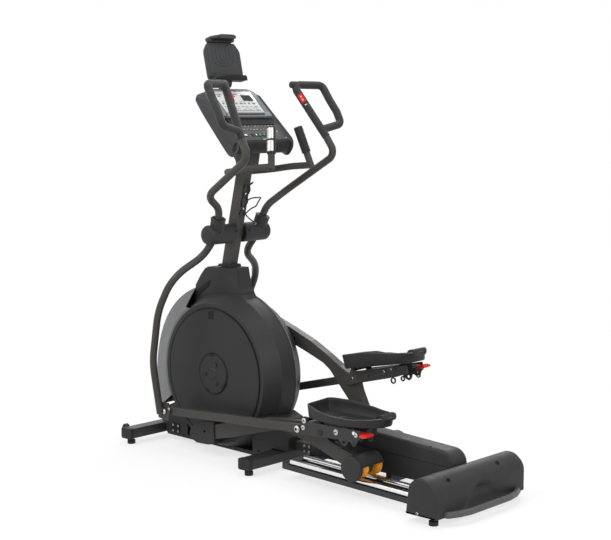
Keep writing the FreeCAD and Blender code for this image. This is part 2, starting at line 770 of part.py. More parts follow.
def belt_run():
    """Tangent points of the belt's upper run, its direction and its outward normal."""
    crank = (0.0, S.crank_height.value)
    wheel = (-S.flywheel_forward.value, S.flywheel_height.value)
    span = math.dist(crank, wheel)
    heading = math.atan2(wheel[1] - crank[1], wheel[0] - crank[0])
    spread = math.acos((S.pulley_radius.value - S.small_pulley_radius.value) / span)
    return crank, wheel, heading, spread


def idler_place():
    """The idler presses on the outside of the belt's upper run."""
    crank, wheel, heading, spread = belt_run()
    normal = heading - spread
    along = (-math.sin(normal), math.cos(normal))
    reach = (S.pulley_radius.value + S.belt_thickness.value + 2 * S.running_gap.value
             + S.idler_radius.value)
    return (crank[0] + reach * math.cos(normal) + S.idler_along.value * along[0],
            crank[1] + reach * math.sin(normal) + S.idler_along.value * along[1])


S.add("idler_x", idler_place()[0])
S.add("idler_z", idler_place()[1])


def make_mast():
    half = S.mast_depth.value / 2
    wall = S.tube_wall.value
    foot = S.spine_bottom.value + S.spine_depth.value
    top = S.mast_top.value
    outline = [(mast_x(foot, -half), foot), (mast_x(foot, half), foot),
               (mast_x(top, half), top), (mast_x(top, -half), top)]
    inner = [(mast_x(foot - 5, wall - half), foot - 5), (mast_x(foot - 5, half - wall), foot - 5),
             (mast_x(top + 5, half - wall), top + 5), (mast_x(top + 5, wall - half), top + 5)]
    side = S.mast_width / 2
    body = new_body("MastTube")
    pad(body, "XZ_Plane", [outline], -side, side)
    pocket(body, "XZ_Plane", [inner], -side + S.tube_wall, side - S.tube_wall)
    drawn_here(body)
    bore = across_y("MastBore", S.pivot_shaft_radius, -side - 1, side + 1, S.pivot_x,
                    S.pivot_height)
    bracket_end = mast_x(S.idler_z.value, 0)
    bracket = box("IdlerBracket", bracket_end - S.idler_x + 16, 4, 32, S.idler_x - 16, side,
                  S.idler_z - 16)
    stub = across_y("IdlerStub", S.idler_pin_radius, side + 4,
                    S.belt_plane + S.pulley_width / 2 + 2, S.idler_x, S.idler_z)
    frame = joined("MastWelded", [body, bracket, stub])
    keep("mast", drilled("mast", frame, [bore]))


def make_pivot_shaft():
    reach = S.hub_outer - S.hub_cap - 1
    shaft = across_y("pivot_shaft", S.pivot_shaft_radius, -reach, reach, S.pivot_x,
                     S.pivot_height)
    keep("pivot_shaft", shaft)


# ---------------------------------------------------------------- drum housing and covers
REAR_SEAM_ANGLE = -38.0            # where the drum band meets the lower rear fairing


def make_drum_housing():
    """The middle band of the drum from the rear fairing up and over, with the tower on it."""
    centre_z = S.crank_height.value
    wall = S.cover_wall.value
    half = S.seam_half.value
    top = S.tower_top.value
    tower = [(-215, top - 107), (-179, top - 55), (-146, top - 19), (-120, top - 7),
             (72, top), (96, top - 101), (130, top - 147), (130, centre_z), (-215, centre_z)]
    inner_tower = [(-215 + wall, top - 109), (-176, top - 57), (-143, top - 23),
                   (-119, top - 7 - wall), (69, top - wall), (92, top - 102),
                   (126, top - 149), (126, centre_z), (-215 + wall, centre_z)]
    disc = across_y("DrumBand", S.drum_radius, -half, half, 0, centre_z)
    outer_tower = drawn_here(plate("TowerBlock", tower, -half, half))
    hollow = across_y("DrumHollow", S.drum_radius - S.cover_wall, -half - 1, half + 1, 0, centre_z)
    tower_hollow = drawn_here(plate("TowerHollow", inner_tower, -half + wall, half - wall))
    far = point_at((0, centre_z), REAR_SEAM_ANGLE, 900)
    below = [(-215, 1000), (-900, 1000), (-900, -300), (far[0], -300), far, (0, centre_z),
             (-215, centre_z)]
    away = drawn_here(plate("BandEnd", below, -half - 1, half + 1))
    foot = mast_x(top, -S.mast_depth.value / 2) - 6
    collar = box("MastOpening", mast_x(top, S.mast_depth.value / 2) + 6 - foot,
                 S.mast_width + 12, 80, foot, -(S.mast_width / 2) - 6, top - 60)
    solid = joined("BandAndTower", [disc, outer_tower])
    keep("drum_housing", drilled("drum_housing", solid, [hollow, tower_hollow, away, collar]))


def make_tower_collar():
    """The rubber collar between the tower's top and the mast."""
    top = S.tower_top.value
    half = S.mast_depth.value / 2
    gap = S.seat_gap.value
    reach = half + 14
    outline = [(mast_x(top, -reach), top), (mast_x(top, reach), top),
               (mast_x(top + 12, reach - 6), top + 12), (mast_x(top + 12, 6 - reach), top + 12)]
    inner = [(mast_x(top - 5, -half - gap), top - 5), (mast_x(top - 5, half + gap), top - 5),
             (mast_x(top + 20, half + gap), top + 20), (mast_x(top + 20, -half - gap), top + 20)]
    body = new_body("tower_collar")
    pad(body, "XZ_Plane", [outline], -(S.mast_width / 2) - 14, S.mast_width / 2 + 14)
    pocket(body, "XZ_Plane", [inner], -(S.mast_width / 2) - gap, S.mast_width / 2 + gap)
    keep("tower_collar", drawn_here(body))


def cover_profile(side):
    """Half section (radius, y) of a side cover: recess for the disc, face ring and cone."""
    wall = S.cover_wall
    recess = S.disc_radius + S.recess_gap
    back = S.disc_face - S.disc_rim_depth - S.recess_gap
    points = [(S.cover_bore, back), (recess, back), (recess, S.cover_face),
              (S.rim_radius, S.cover_face), (S.drum_radius, S.seam_half),
              (S.drum_radius - wall, S.seam_half), (S.rim_radius - wall + 1, S.cover_face - wall),
              (recess + wall, S.cover_face - wall), (recess + wall, back - wall),
              (S.cover_bore, back - wall)]
    return [(radius, y * side) for radius, y in points]


def make_side_covers():
    for side_word, side in SIDES.items():
        ring = turned(f"{side_word}CoverRing", cover_profile(side))
        place(ring, 0, 0, S.crank_height)
        floor_cut = box(f"{side_word}CoverFloorCut", 900, 300, 100, -450, -150,
                        S.drum_floor - 100)
        keep(f"{side_word}_side_cover",
             drilled(f"{side_word}_side_cover", ring, [floor_cut]))


def drum_solid(grow):
    """The drum's whole outer form, grown by a clearance: band and two cones."""
    outer = S.drum_radius.value + grow
    rim = S.rim_radius.value + grow
    seam = S.seam_half.value
    face = S.cover_face.value
    centre = Vector(0, 0, S.crank_height.value)
    profile = [Vector(0, -face - 1, 0), Vector(rim, -face - 1, 0), Vector(rim, -face, 0),
               Vector(outer, -seam, 0), Vector(outer, seam, 0), Vector(rim, face, 0),
               Vector(rim, face + 1, 0), Vector(0, face + 1, 0)]
    section = Part.Face(Part.makePolygon(profile + profile[:1]))
    solid = section.revolve(Vector(0, 0, 0), Vector(0, 1, 0), 360)
    solid.translate(centre)
    return solid


# reach of the front bulge from the crank axis, by angle above +X, along the middle
BULGE = [(118, 449), (130, 464), (145, 483), (160, 497), (175, 509), (190, 527), (206, 538)]


def bulge_section(y, reach_of, trim=0.0):
    """Closed section of the front bulge at y: a smooth outer edge and a straight way back."""
    centre_z = S.crank_height.value
    points = [Vector(*flat(point_at((0, centre_z), angle, reach_of(reach) - trim), y))
              for angle, reach in BULGE]
    curve = Part.BSplineCurve()
    curve.interpolate(points)
    first, last = BULGE[0][0], BULGE[-1][0]
    inside = [Vector(*flat(point_at((0, centre_z), angle, 300), y)) for angle in (last, first)]
    return Part.Wire([curve.toShape(), Part.makeLine(points[-1], inside[0]),
                      Part.makeLine(inside[0], inside[1]), Part.makeLine(inside[1], points[0])])


def flat(point, y):
    return (point[0], y, point[1])


def make_front_trim():
    """Pale bulge over the flywheel: full reach in the middle, falling to the face ring."""
    wall = S.cover_wall.value
    edge = S.trim_edge_radius.value
    face = S.cover_face.value - 1
    seam = S.seam_half.value

    def bulge(trim, grow):
        wide = face + grow
        narrow = seam + grow / 2
        return [bulge_section(-wide, lambda reach: edge, trim),
                bulge_section(-narrow, lambda reach: reach, trim),
                bulge_section(narrow, lambda reach: reach, trim),
                bulge_section(wide, lambda reach: edge, trim)]

    outer = Part.makeLoft(bulge(0, 0), True, True)
    inner = Part.makeLoft(bulge(wall, -wall / 2), True, True)
    shell = outer.cut(inner).cut(drum_solid(S.seat_gap.value))
    solids = sorted(shell.Solids, key=lambda solid: solid.Volume)
    tower_side = Part.makeBox(600, 400, 600, Vector(-215, -200, 700))
    keep("front_trim", shaped("front_trim", solids[-1].cut(tower_side)))


def make_base_cover():
    """Lower shroud: rear fairing, nose over the front of the spine and the floor between."""
    wall = S.cover_wall.value
    floor = S.drum_floor.value
    half = S.base_cover_half.value
    spine_top = S.spine_bottom.value + S.spine_depth.value
    over = S.spine_bottom.value + 4
    fairing = [(230, floor - 4), (360, floor - 4), (360, over), (470, over), (470, 150),
               (440, 185), (395, 215), (340, 235), (230, 235)]
    fairing_inner = [(234, floor), (356, floor), (356, over + wall), (466, over + wall),
                     (466, 149), (437, 182), (393, 211), (340, 231), (234, 231)]
    nose = [(-410, over), (-410, 150), (-385, 175), (-330, 200), (-240, 200), (-240, floor - 4),
            (-405, floor - 4)]
    nose_inner = [(-406, over + wall), (-406, 148), (-383, 171), (-329, 196), (-244, 196),
                  (-244, floor), (-401, floor)]
    skirt = S.skirt_height.value
    blocks = [extruded(fairing, half), extruded(nose, half),
              extruded([(-390, skirt), (345, skirt), (357, floor), (-404, floor)], half)]
    hollows = [extruded(fairing_inner, half - wall), extruded(nose_inner, half - wall),
               extruded([(-386, skirt - 1), (341, skirt - 1), (352, floor - wall),
                         (-400, floor - wall)], half - wall)]
    solid = blocks[0].fuse(blocks[1:]).cut(hollows)
    gap = S.seat_gap.value
    drive_room = Part.makeBox(400, 100, 200, Vector(-500, -50, spine_top + 2))
    spine = Part.makeBox(2000, S.spine_width.value + 2 * gap, S.spine_depth.value + 2 * gap,
                         Vector(-1000, -S.spine_width.value / 2 - gap,
                                S.spine_bottom.value - gap))
    mid = Part.makeBox(S.stabilizer_width.value + 2 * gap, 700,
                       S.stabilizer_height.value + gap,
                       Vector(S.mid_stabilizer_x.value - S.stabilizer_width.value / 2 - gap,
                              -350, S.spine_bottom.value - S.stabilizer_height.value))
    front_x = -S.front_stabilizer_x.value - S.stabilizer_width.value / 2
    front = Part.makeBox(S.stabilizer_width.value + gap, 700, spine_top, Vector(front_x, -350, 0))
    drum = drum_solid(gap).cut(Part.makeBox(1000, 400, 100, Vector(-500, -200, floor - 100)))
    shape = solid.cut([drum, spine, mid, front, drive_room])
    solids = sorted(shape.Solids, key=lambda piece: piece.Volume)
    keep("base_cover", shaped("base_cover", solids[-1]))


def extruded(points, half):
    """A prism across the middle plane from an outline seen from the side."""
    corners = [Vector(x, -half, z) for x, z in points]
    face = Part.Face(Part.makePolygon(corners + corners[:1]))
    return face.extrude(Vector(0, 2 * half, 0))


# ---------------------------------------------------------------- crank set and drive
def make_crankset():
    reach = S.disc_face - S.disc_wall
    pieces = [across_y("Axle", S.axle_radius, -reach, reach, 0, S.crank_height)]
    for side_word, angle in (("left", FIRST_CRANK_ANGLE), ("right", FIRST_CRANK_ANGLE + 180)):
        side = SIDES[side_word]
        low, high = mirrored(reach - S.arm_plate, reach, side)
        half = S.arm_width / 2
        arm = plate(f"{side_word}CrankArm",
                    rectangle(-half, S.crank_radius - S.pin_radius * 2, -half, half), low, high,
                    corner=12)
        place(arm, 0, 0, S.crank_height, lean(angle))
        pieces.append(arm)
    keep("crank_axle", joined("crank_axle", pieces))
    for side_word, side in SIDES.items():
        face, wall = S.disc_face, S.disc_wall
        rim = face - S.disc_rim_depth
        radius = S.disc_radius
        profile = [(0, face - wall), (0, face), (radius - 4, face), (radius, face - 4),
                   (radius, rim), (radius - wall, rim), (radius - wall, face - wall)]
        disc = turned(f"{side_word}DiscForm", [(r, y * side) for r, y in profile])
        notch_low, notch_high = mirrored(face - wall - 1, face + 1, side)
        pocket(disc, "XZ_Plane",
               [rectangle(-S.notch_width / 2, S.notch_width / 2,
                          radius - 10 - S.notch_length, radius - 10)], notch_low, notch_high)
        place(disc, 0, 0, S.crank_height)
        keep(f"{side_word}_crank_disc", disc)
    caps = []
    for side in (-1, 1):
        face, thick = S.disc_face, S.cap_thickness
        profile = [(0, face), (S.cap_radius, face), (S.cap_radius - 3, face + thick),
                   (30, face + thick), (26, face + thick + 3), (0, face + thick + 3)]
        cap = turned(f"CrankCap{side + 1}", [(r, y * side) for r, y in profile])
        place(cap, 0, 0, S.crank_height)
        caps.append(cap)
    keep("crank_caps", group("crank_caps", caps))


def make_drive():
    plane, half = S.belt_plane, S.pulley_width / 2
    radius = S.pulley_radius
    profile = [(S.axle_radius, plane - half - 3), (35, plane - half - 3), (35, plane - 3),
               (radius - 15, plane - 3), (radius - 15, plane - half), (radius, plane - half),
               (radius, plane + half), (radius - 15, plane + half), (radius - 15, plane + 3),
               (35, plane + 3), (35, plane + half + 5), (S.axle_radius, plane + half + 5)]
    pulley = turned("drive_pulley", profile)
    place(pulley, 0, 0, S.crank_height)
    keep("drive_pulley", pulley)

    bearings = []
    for side in (-1, 1):
        low, high = mirrored(S.shell_half - 14, S.shell_half, side)
        inner = S.axle_radius + S.journal_gap
        bearing = turned(f"CrankBearing{side + 1}",
                         [(inner, low), (S.bearing_radius, low), (S.bearing_radius, high),
                          (inner, high)])
        place(bearing, 0, 0, S.crank_height)
        bearings.append(bearing)
    keep("crank_bearings", group("crank_bearings", bearings))

    half_width = S.flywheel_width / 2
    axle, rim = S.flywheel_axle_radius, S.flywheel_radius
    small, far = S.small_pulley_radius, plane + half
    profile = [(0, -S.flywheel_fork - S.fork_plate - 4), (axle, -S.flywheel_fork - S.fork_plate - 4),
               (axle, -half_width + 3), (25, -half_width + 3), (25, -5), (rim - 45, -5),
               (rim - 45, -half_width), (rim, -half_width), (rim, half_width),
               (rim - 45, half_width), (rim - 45, 5), (25, 5), (25, half_width - 3),
               (axle, half_width - 3), (axle, plane - half), (small, plane - half),
               (small, far), (axle, far), (axle, far + 3), (0, far + 3)]
    flywheel = turned("flywheel", profile)
    place(flywheel, -S.flywheel_forward, 0, S.flywheel_height)
    keep("flywheel", flywheel)

    bore = S.idler_pin_radius + S.journal_gap
    idler = turned("idler_wheel", [(bore, plane - half), (S.idler_radius, plane - half),
                                   (S.idler_radius, plane + half), (bore, plane + half)])
    place(idler, S.idler_x, 0, S.idler_z)
    keep("idler_wheel", idler)
    keep("drive_belt", shaped("drive_belt", belt_shape()))
    make_brake()


def belt_shape():
    """Belt loop round the crank pulley and the flywheel's pulley."""
    crank, wheel, heading, spread = belt_run()
    width = S.pulley_width.value - 2
    low = S.belt_plane.value - width / 2

    def loop(grow):
        big = S.pulley_radius.value + grow
        small = S.small_pulley_radius.value + grow
        upper, lower = heading - spread, heading + spread
        turn = math.degrees

        def tip(centre, angle, reach):
            return Vector(*flat(point_at(centre, turn(angle), reach), low))

        # the long way round the big pulley faces away from the small one
        round_big = Part.Arc(tip(crank, lower, big), tip(crank, heading + math.pi, big),
                             tip(crank, upper, big)).toShape()
        round_small = Part.Arc(tip(wheel, upper, small), tip(wheel, heading, small),
                               tip(wheel, lower, small)).toShape()
        runs = [Part.makeLine(tip(crank, upper, big), tip(wheel, upper, small)),
                Part.makeLine(tip(wheel, lower, small), tip(crank, lower, big))]
        return Part.Face(Part.Wire([round_big, runs[0], round_small, runs[1]]))

    gap = S.running_gap.value
    band = loop(gap + S.belt_thickness.value).cut(loop(gap))
    return band.extrude(Vector(0, width, 0)).Solids[0]


def make_brake():
    """Magnet bracket over the flywheel's rim, carried from the mast's front face."""
    x, z = -S.flywheel_forward, S.flywheel_height
    inner, outer = S.flywheel_radius + 3, S.flywheel_radius + 17
    ring = across_y("BrakeRingOuter", outer, -20, 20, x, z)
    hole = across_y("BrakeRingInner", inner, -21, 21, x, z)
    far = 170
    wedge = plate("BrakeWedge", [(0, 0), (far * 0.9, far * 0.6), (0, far), (-far * 0.7, far)],
                  -22, 22)
    place(wedge, x, 0, z)
    sector = doc.addObject("Part::Common", "BrakeSector")
    sector.Base = without("BrakeRing", ring, hole)
    sector.Tool = wedge
    level = S.flywheel_height.value + 82
    half = S.mast_depth.value / 2
    strut = drawn_here(plate("BrakeStrut", [(number(x) + 97, level - 9),
                                            (mast_x(level - 9, -half), level - 9),
                                            (mast_x(level + 9, -half), level + 9),
                                            (number(x) + 92, level + 9)], -10, 10))
    keep("brake_unit", joined("brake_unit", [sector, strut]))


# ---------------------------------------------------------------- swing arms
def swing_place(thing, side_word):
    """Arm pieces are drawn about the swing pivot with the arm leaning SWING_REFERENCE."""
    turn = SWING_REFERENCE - LINKAGE[side_word]["swing_lean"]
    place(thing, S.pivot_x, 0, S.pivot_height, lean(turn))
    return thing


# bends of the tubes, (x, distance from the middle, z) from the swing pivot
DRAWN_SWING_RADIUS = 920.0         # the lower tube's bends are written for this swing radius
LOWER_BEND = 420.0                 # radius of its bends, where the runs are long enough
ARM_SCALE = S.swing_radius.value / DRAWN_SWING_RADIUS
LOWER_TUBE = [(x * ARM_SCALE, y, z * ARM_SCALE) for x, y, z in (
    (-14, 140, -28), (-84, 140, -109), (-144, 290, -207), (-239, 300, -379),
    (-296, 290, -639), (-281, 259, -896))]
UPPER_TUBE = [(24, 145, 52), (49, 155, 125), (78, 258, 193), (387, 290, 381), (335, 281, 462)]
GRIP_LOOP = [(334.0, 280.7, 463.7), (165, 226, 711), (214, 379, 709), (261, 385, 636),
             (301, 391, 581), (328, 393, 524), (322, 346, 513)]
GRIP_RETURN = [GRIP_LOOP[-1], (312, 279, 498)]


def on_side(points, side):
    return [(x, y * side, z) for x, y, z in points]


def make_arm_tubes(side_word, side):
    radius, wall = S.arm_tube_radius.value, S.arm_tube_wall.value
    lower = swing_place(shaped(f"{side_word}LowerTube",
                               tube(on_side(LOWER_TUBE, side), radius, wall, LOWER_BEND)),
                        side_word)
    upper = swing_place(shaped(f"{side_word}UpperTube",
                               tube(on_side(UPPER_TUBE, side), radius, wall, 100)), side_word)
    low, high = mirrored(S.foot_plate_y, S.foot_plate_y + S.foot_plate_thickness, side)
    foot = plate(f"{side_word}FootPlate", [(-49, -39), (22, -46), (39, 9), (25, 44), (-43, 39)],
                 low, high, corner=6)
    turn = SWING_REFERENCE - LINKAGE[side_word]["swing_lean"]
    place(foot, getattr(S, f"{side_word}_foot_x"), 0, getattr(S, f"{side_word}_foot_z"),
          lean(turn))
    bolt_low, bolt_high = mirrored(S.foot_plate_y + S.foot_plate_thickness,
                                   S.foot_plate_y + S.foot_plate_thickness + 5, side)
    bolt = across_y(f"{side_word}FootBolt", S.foot_bolt_radius + 3, bolt_low, bolt_high,
                    getattr(S, f"{side_word}_foot_x"), getattr(S, f"{side_word}_foot_z"))
    bore = swing_place(shaped(f"{side_word}FootBore",
                              rod(on_side(LOWER_TUBE, side), radius - wall, LOWER_BEND)),
                       side_word)
    lower_arm = drilled(f"{side_word}LowerArm",
                        joined(f"{side_word}LowerWelded", [lower, foot, bolt]), [bore])
    keep(f"{side_word}_arm_tubes", group(f"{side_word}_arm_tubes", [lower_arm, upper]))


def make_pivot_housing(side_word, side):
    radius = S.hub_radius
    bore = S.pivot_shaft_radius + S.journal_gap
    inner, outer = S.hub_inner, S.hub_outer
    profile = [(bore, inner), (radius - 4, inner), (radius, inner + 4), (radius, outer - 12),
               (radius - 5, outer - 3), (radius - 14, outer), (0, outer),
               (0, outer - S.hub_cap), (bore, outer - S.hub_cap)]
    hub = swing_place(turned(f"{side_word}Hub", [(r, y * side) for r, y in profile]), side_word)
    start, end = UPPER_TUBE[0], UPPER_TUBE[1]
    heading = (Vector(*end) - Vector(*start)).normalize()
    foot = Vector(*start) - heading * (Vector(*start).dot(heading) - 6)
    tip = foot + heading * (S.sleeve_top.value - 6)
    sleeve_shape = rod([(p.x, p.y * side, p.z) for p in (foot, tip)], S.sleeve_radius.value, 0)
    sleeve = swing_place(shaped(f"{side_word}Sleeve", sleeve_shape), side_word)
    body = joined(f"{side_word}HousingForm", [hub, sleeve])
    grow = S.arm_tube_radius.value + S.seat_gap.value
    sockets = [swing_place(shaped(f"{side_word}Socket{index}",
                                  rod(on_side(route, side), grow, bend)), side_word)
               for index, (route, bend) in enumerate(((LOWER_TUBE, LOWER_BEND), (UPPER_TUBE, 100)))]
    shaft_room = across_y(f"{side_word}ShaftRoom", bore,
                          *mirrored(inner - 1, outer - S.hub_cap, side), S.pivot_x,
                          S.pivot_height)
    keep(f"{side_word}_pivot_housing",
         drilled(f"{side_word}_pivot_housing", body, [*sockets, shaft_room]))


def button_frame(side):
    """Centre and axes of the rocker on the grip's main bar: along the bar, across, outward."""
    start, end = (Vector(x, y * side, z) for x, y, z in GRIP_LOOP[:2])
    along = (end - start).normalize()
    out = Vector(1, -0.9 * side, 0)
    out = (out - along * out.dot(along)).normalize()
    across = out.cross(along)
    centre = start + along * ((end - start).Length * S.button_place.value)
    return centre, Rotation(along, across, out, "XYZ"), out


def button_block(side, length, width, low, high):
    centre, rotation, out = button_frame(side)
    block = Part.makeBox(length, width, high - low, Vector(-length / 2, -width / 2, low))
    block.Placement = Placement(centre, rotation)
    return block


def make_grip(side_word, side):
    radius = S.grip_radius.value
    loop = rod(on_side(GRIP_LOOP, side), radius, 28)
    back = rod(on_side(GRIP_RETURN, side), radius, 0)
    length, width = S.button_length.value, S.button_width.value
    gap = S.running_gap.value
    recess = button_block(side, length + 2 * gap, width + 2 * gap, radius - 8, radius + 8)
    shape = loop.fuse(back).cut(recess)
    keep(f"{side_word}_grip", swing_place(shaped(f"{side_word}_grip", shape), side_word))
    top = radius + S.button_rise.value
    button = button_block(side, length, width, radius - 8 + S.button_travel.value + gap, top)
    edges = [edge for edge in button.Edges
             if abs(edge.tangentAt(0).normalize().dot(button_frame(side)[2])) > 0.99]
    button = button.makeFillet(4, edges)
    keep(f"{side_word}_grip_button",
         swing_place(shaped(f"{side_word}_grip_button", button), side_word))


# ---------------------------------------------------------------- roller arms
def link_place(thing, side_word):
    places = LINKAGE[side_word]
    place(thing, getattr(S, f"{side_word}_pin_x"), 0, getattr(S, f"{side_word}_pin_z"),
          lean(places["link_angle"]))
    return thing


def link_outline():
    """Side view of the roller arm from the crank pin: a boomerang whose peak holds the pivot."""
    peak_x, peak_z = S.pivot_along, S.pivot_up
    end = S.link_length
    lower = [(-24, -22), (20, -30), (74, -21), (178, 0), (313, 38), (396, 60),
             (peak_x - 172, peak_z - 42), (peak_x - 120, peak_z - 42),
             (peak_x - 43, peak_z - 62), (peak_x + 52, peak_z - 85), (end - 187, 13),
             (end - 113, -14), (end - 24, -33), (end + 21, -28)]
    upper = [(end + 33, 0), (end + 16, 26), (end - 24, 34), (end - 97, 52), (end - 181, 78),
             (peak_x + 77, peak_z - 10), (peak_x + 39, peak_z + 20), (peak_x - 23, peak_z + 22),
             (peak_x - 83, peak_z + 13), (peak_x - 171, peak_z + 8), (390, 122), (252, 92),
             (142, 64), (76, 48), (0, 34), (-24, 20)]
    return lower + upper


def link_prism(low, high, grow):
    """Prism of the roller arm's side view, grown or shrunk by an offset."""
    corners = [Vector(number(x), low, number(z)) for x, z in link_outline()]
    face = Part.Face(Part.makePolygon(corners + corners[:1]))
    return face.makeOffset2D(grow).extrude(Vector(0, high - low, 0))


def make_roller_arm(side_word, side):
    low, high = mirrored(S.link_y - S.link_width / 2, S.link_y + S.link_width / 2, side)
    skin = link_place(plate(f"{side_word}LinkSkin", link_outline(), low, high), side_word)
    wall = S.link_wall.value
    cavity = link_place(shaped(f"{side_word}LinkCavity",
                               link_prism(number(low) + wall, number(high) - wall, -wall)),
                        side_word)
    hollow = drilled(f"{side_word}LinkHollow", skin, [cavity])
    inner = S.link_y - S.link_width / 2
    outer = S.link_y + S.link_width / 2
    name = f"{side_word}Link"
    pin_x, pin_z = getattr(S, f"{side_word}_pin_x"), getattr(S, f"{side_word}_pin_z")
    pivot_x, pivot_z = getattr(S, f"{side_word}_pivot_x"), getattr(S, f"{side_word}_pivot_z")
    end_x, end_z = getattr(S, f"{side_word}_roller_x"), getattr(S, f"{side_word}_roller_z")
    pieces = [
        hollow,
        across_y(f"{name}PinBoss", S.pin_radius + 10, low, high, pin_x, pin_z),
        across_y(f"{name}Pin", S.pin_radius, *mirrored(S.disc_face + 0.8, inner + 1, side),
                 pin_x, pin_z),
        across_y(f"{name}PivotBoss", S.pivot_pin_radius + 8, low, high, pivot_x, pivot_z),
        across_y(f"{name}AxleBoss", S.roller_axle_radius + 6, low, high, end_x, end_z),
        across_y(f"{name}Axle", S.roller_axle_radius,
                 *mirrored(S.inner_rail_y - S.roller_width / 2 - 3, S.roller_plate_inner, side),
                 end_x, end_z),
        across_y(f"{name}InnerCollar", S.roller_axle_radius + 5,
                 *mirrored(S.inner_rail_y + S.roller_width / 2 + 1, inner + 1, side),
                 end_x, end_z),
        across_y(f"{name}OuterCollar", S.roller_axle_radius + 5,
                 *mirrored(outer - 1, S.outer_rail_y - S.roller_width / 2 - 1, side),
                 end_x, end_z),
    ]
    welded = joined(f"{name}Welded", pieces)
    bore = across_y(f"{name}PivotBore", S.pivot_pin_radius + S.journal_gap,
                    *mirrored(inner - 1, outer + 1, side), pivot_x, pivot_z)
    access = link_place(shaped(f"{name}Access", access_hole(side)), side_word)
    keep(f"{side_word}_roller_arm", drilled(f"{side_word}_roller_arm", welded, [bore, access]))


def access_hole(side):
    """Drain hole through the inner wall of the roller arm."""
    low, high = mirrored(S.link_y - S.link_width / 2 - 1, S.link_y, side)
    start = Vector(300, number(low), 62)
    return Part.makeCylinder(8, number(high - low), start, Vector(0, 1, 0))


def make_link_covers(side_word, side):
    """Moulded covers on the roller arm: one round the crank pin, one over the rollers."""
    gap = S.seat_gap.value
    outer = S.link_y.value + S.link_width.value / 2
    low, high = (number(y) for y in mirrored(S.disc_face + 4, outer + 4, side))
    front = [(-113, -20), (-100, -46), (-62, -60), (20, -58), (62, -50), (64, 60), (0, 52),
             (-60, 38), (-100, 14)]
    corners = [Vector(x, low, z) for x, z in front]
    cap = Part.Face(Part.makePolygon(corners + corners[:1])).extrude(Vector(0, high - low, 0))
    upright = [edge for edge in cap.Edges if abs(edge.tangentAt(0).y) > 0.99
               and edge.CenterOfMass.x < 0]
    cap = cap.makeFillet(9, upright)
    room_low, room_high = (number(y) for y in mirrored(S.disc_face, outer + gap, side))
    front_cover = cap.cut(link_prism(room_low, room_high, gap))
    lightening = Part.makeBox(46, 26, 70, Vector(-90, min(low, high), -32))
    if side > 0:
        lightening.translate(Vector(0, -1, 0))
    else:
        lightening.translate(Vector(0, number(high - low) - 25, 0))
    front_cover = front_cover.cut(lightening)

    end = Vector(S.link_length.value, 0, 0)
    radius = S.roller_disc_radius.value
    inner_y = S.inner_rail_y.value - S.roller_width.value / 2 - 3
    plate_in, plate_out = S.roller_plate_inner.value, S.roller_plate_outer.value
    across = Vector(0, side, 0)

    def bar(radius_now, start, stop):
        return Part.makeCylinder(radius_now, stop - start, end + across * start, across)

    disc = bar(radius, plate_in, plate_out)
    rim = [edge for edge in disc.Edges if isinstance(edge.Curve, Part.Circle)
           and abs(edge.Curve.Center.y) > plate_in + 1]
    disc = disc.makeFillet(5, rim)
    arch = bar(radius, inner_y, plate_in).cut(bar(radius - 4, inner_y - 1, plate_in + 1))
    below = Part.makeBox(300, 600, 150, Vector(number(S.link_length) - 150, -300, -138))
    arch = arch.cut([below, link_prism(-400, 400, 0).common(bar(200, outer - 45, outer + gap)),
                     link_slot(side)])
    rear_cover = disc.fuse(arch)
    covers = [shaped(f"{side_word}PinCover", front_cover),
              shaped(f"{side_word}RollerCover", max(rear_cover.Solids, key=lambda s: s.Volume))]
    for cover in covers:
        link_place(cover, side_word)
    keep(f"{side_word}_link_covers", group(f"{side_word}_link_covers", covers))


def link_slot(side):
    """Room for the roller arm through the arch over the rollers."""
    gap = 2
    low, high = (number(y) for y in mirrored(S.link_y - S.link_width / 2 - gap,
                                             S.link_y + S.link_width / 2 + gap, side))
    return link_prism(low, high, gap)


def make_rollers(side_word, side):
    bore = S.roller_axle_radius + S.journal_gap
    half = S.roller_width / 2
    radius, flange = S.roller_radius, S.roller_flange
    wheels = []
    for row, rail_y in enumerate((S.inner_rail_y, S.outer_rail_y)):
        middle = rail_y * side
        profile = [(bore, middle - half), (flange, middle - half), (flange, middle - 13),
                   (radius - S.running_gap, middle - 6), (radius - S.running_gap, middle + 6),
                   (flange, middle + 13), (flange, middle + half), (bore, middle + half)]
        wheel = turned(f"{side_word}Roller{row}", profile)
        place(wheel, getattr(S, f"{side_word}_roller_x"), 0, getattr(S, f"{side_word}_roller_z"))
        wheels.append(wheel)
    keep(f"{side_word}_rollers", group(f"{side_word}_rollers", wheels))


# ---------------------------------------------------------------- pedal arms and pedals
def bar_place(thing, side_word, u=0.0, n=0.0, tilt=0.0):
    """Pedal arm pieces are drawn about the pivot on the roller arm, u rearward, n upward."""
    angle = LINKAGE[side_word]["bar_angle"]
    turn = math.radians(angle)
    x = getattr(S, f"{side_word}_pivot_x") + u * math.cos(turn) - n * math.sin(turn)
    z = getattr(S, f"{side_word}_pivot_z") + u * math.sin(turn) + n * math.cos(turn)
    place(thing, x, 0, z, lean(angle + tilt))
    return thing


def bar_pin(name, side_word, radius, low, high, u, n):
    """A round bar across the pedal arm at u, n."""
    pin = cylinder(name, radius, high - low, 0, 0, 0)
    place_pin = bar_place(pin, side_word, u, n)
    angle = LINKAGE[side_word]["bar_angle"]
    place_pin.Placement = Placement(place_pin.Placement.Base, ALONG_Y)
    bind(pin, "Placement.Base.y", low)
    return pin


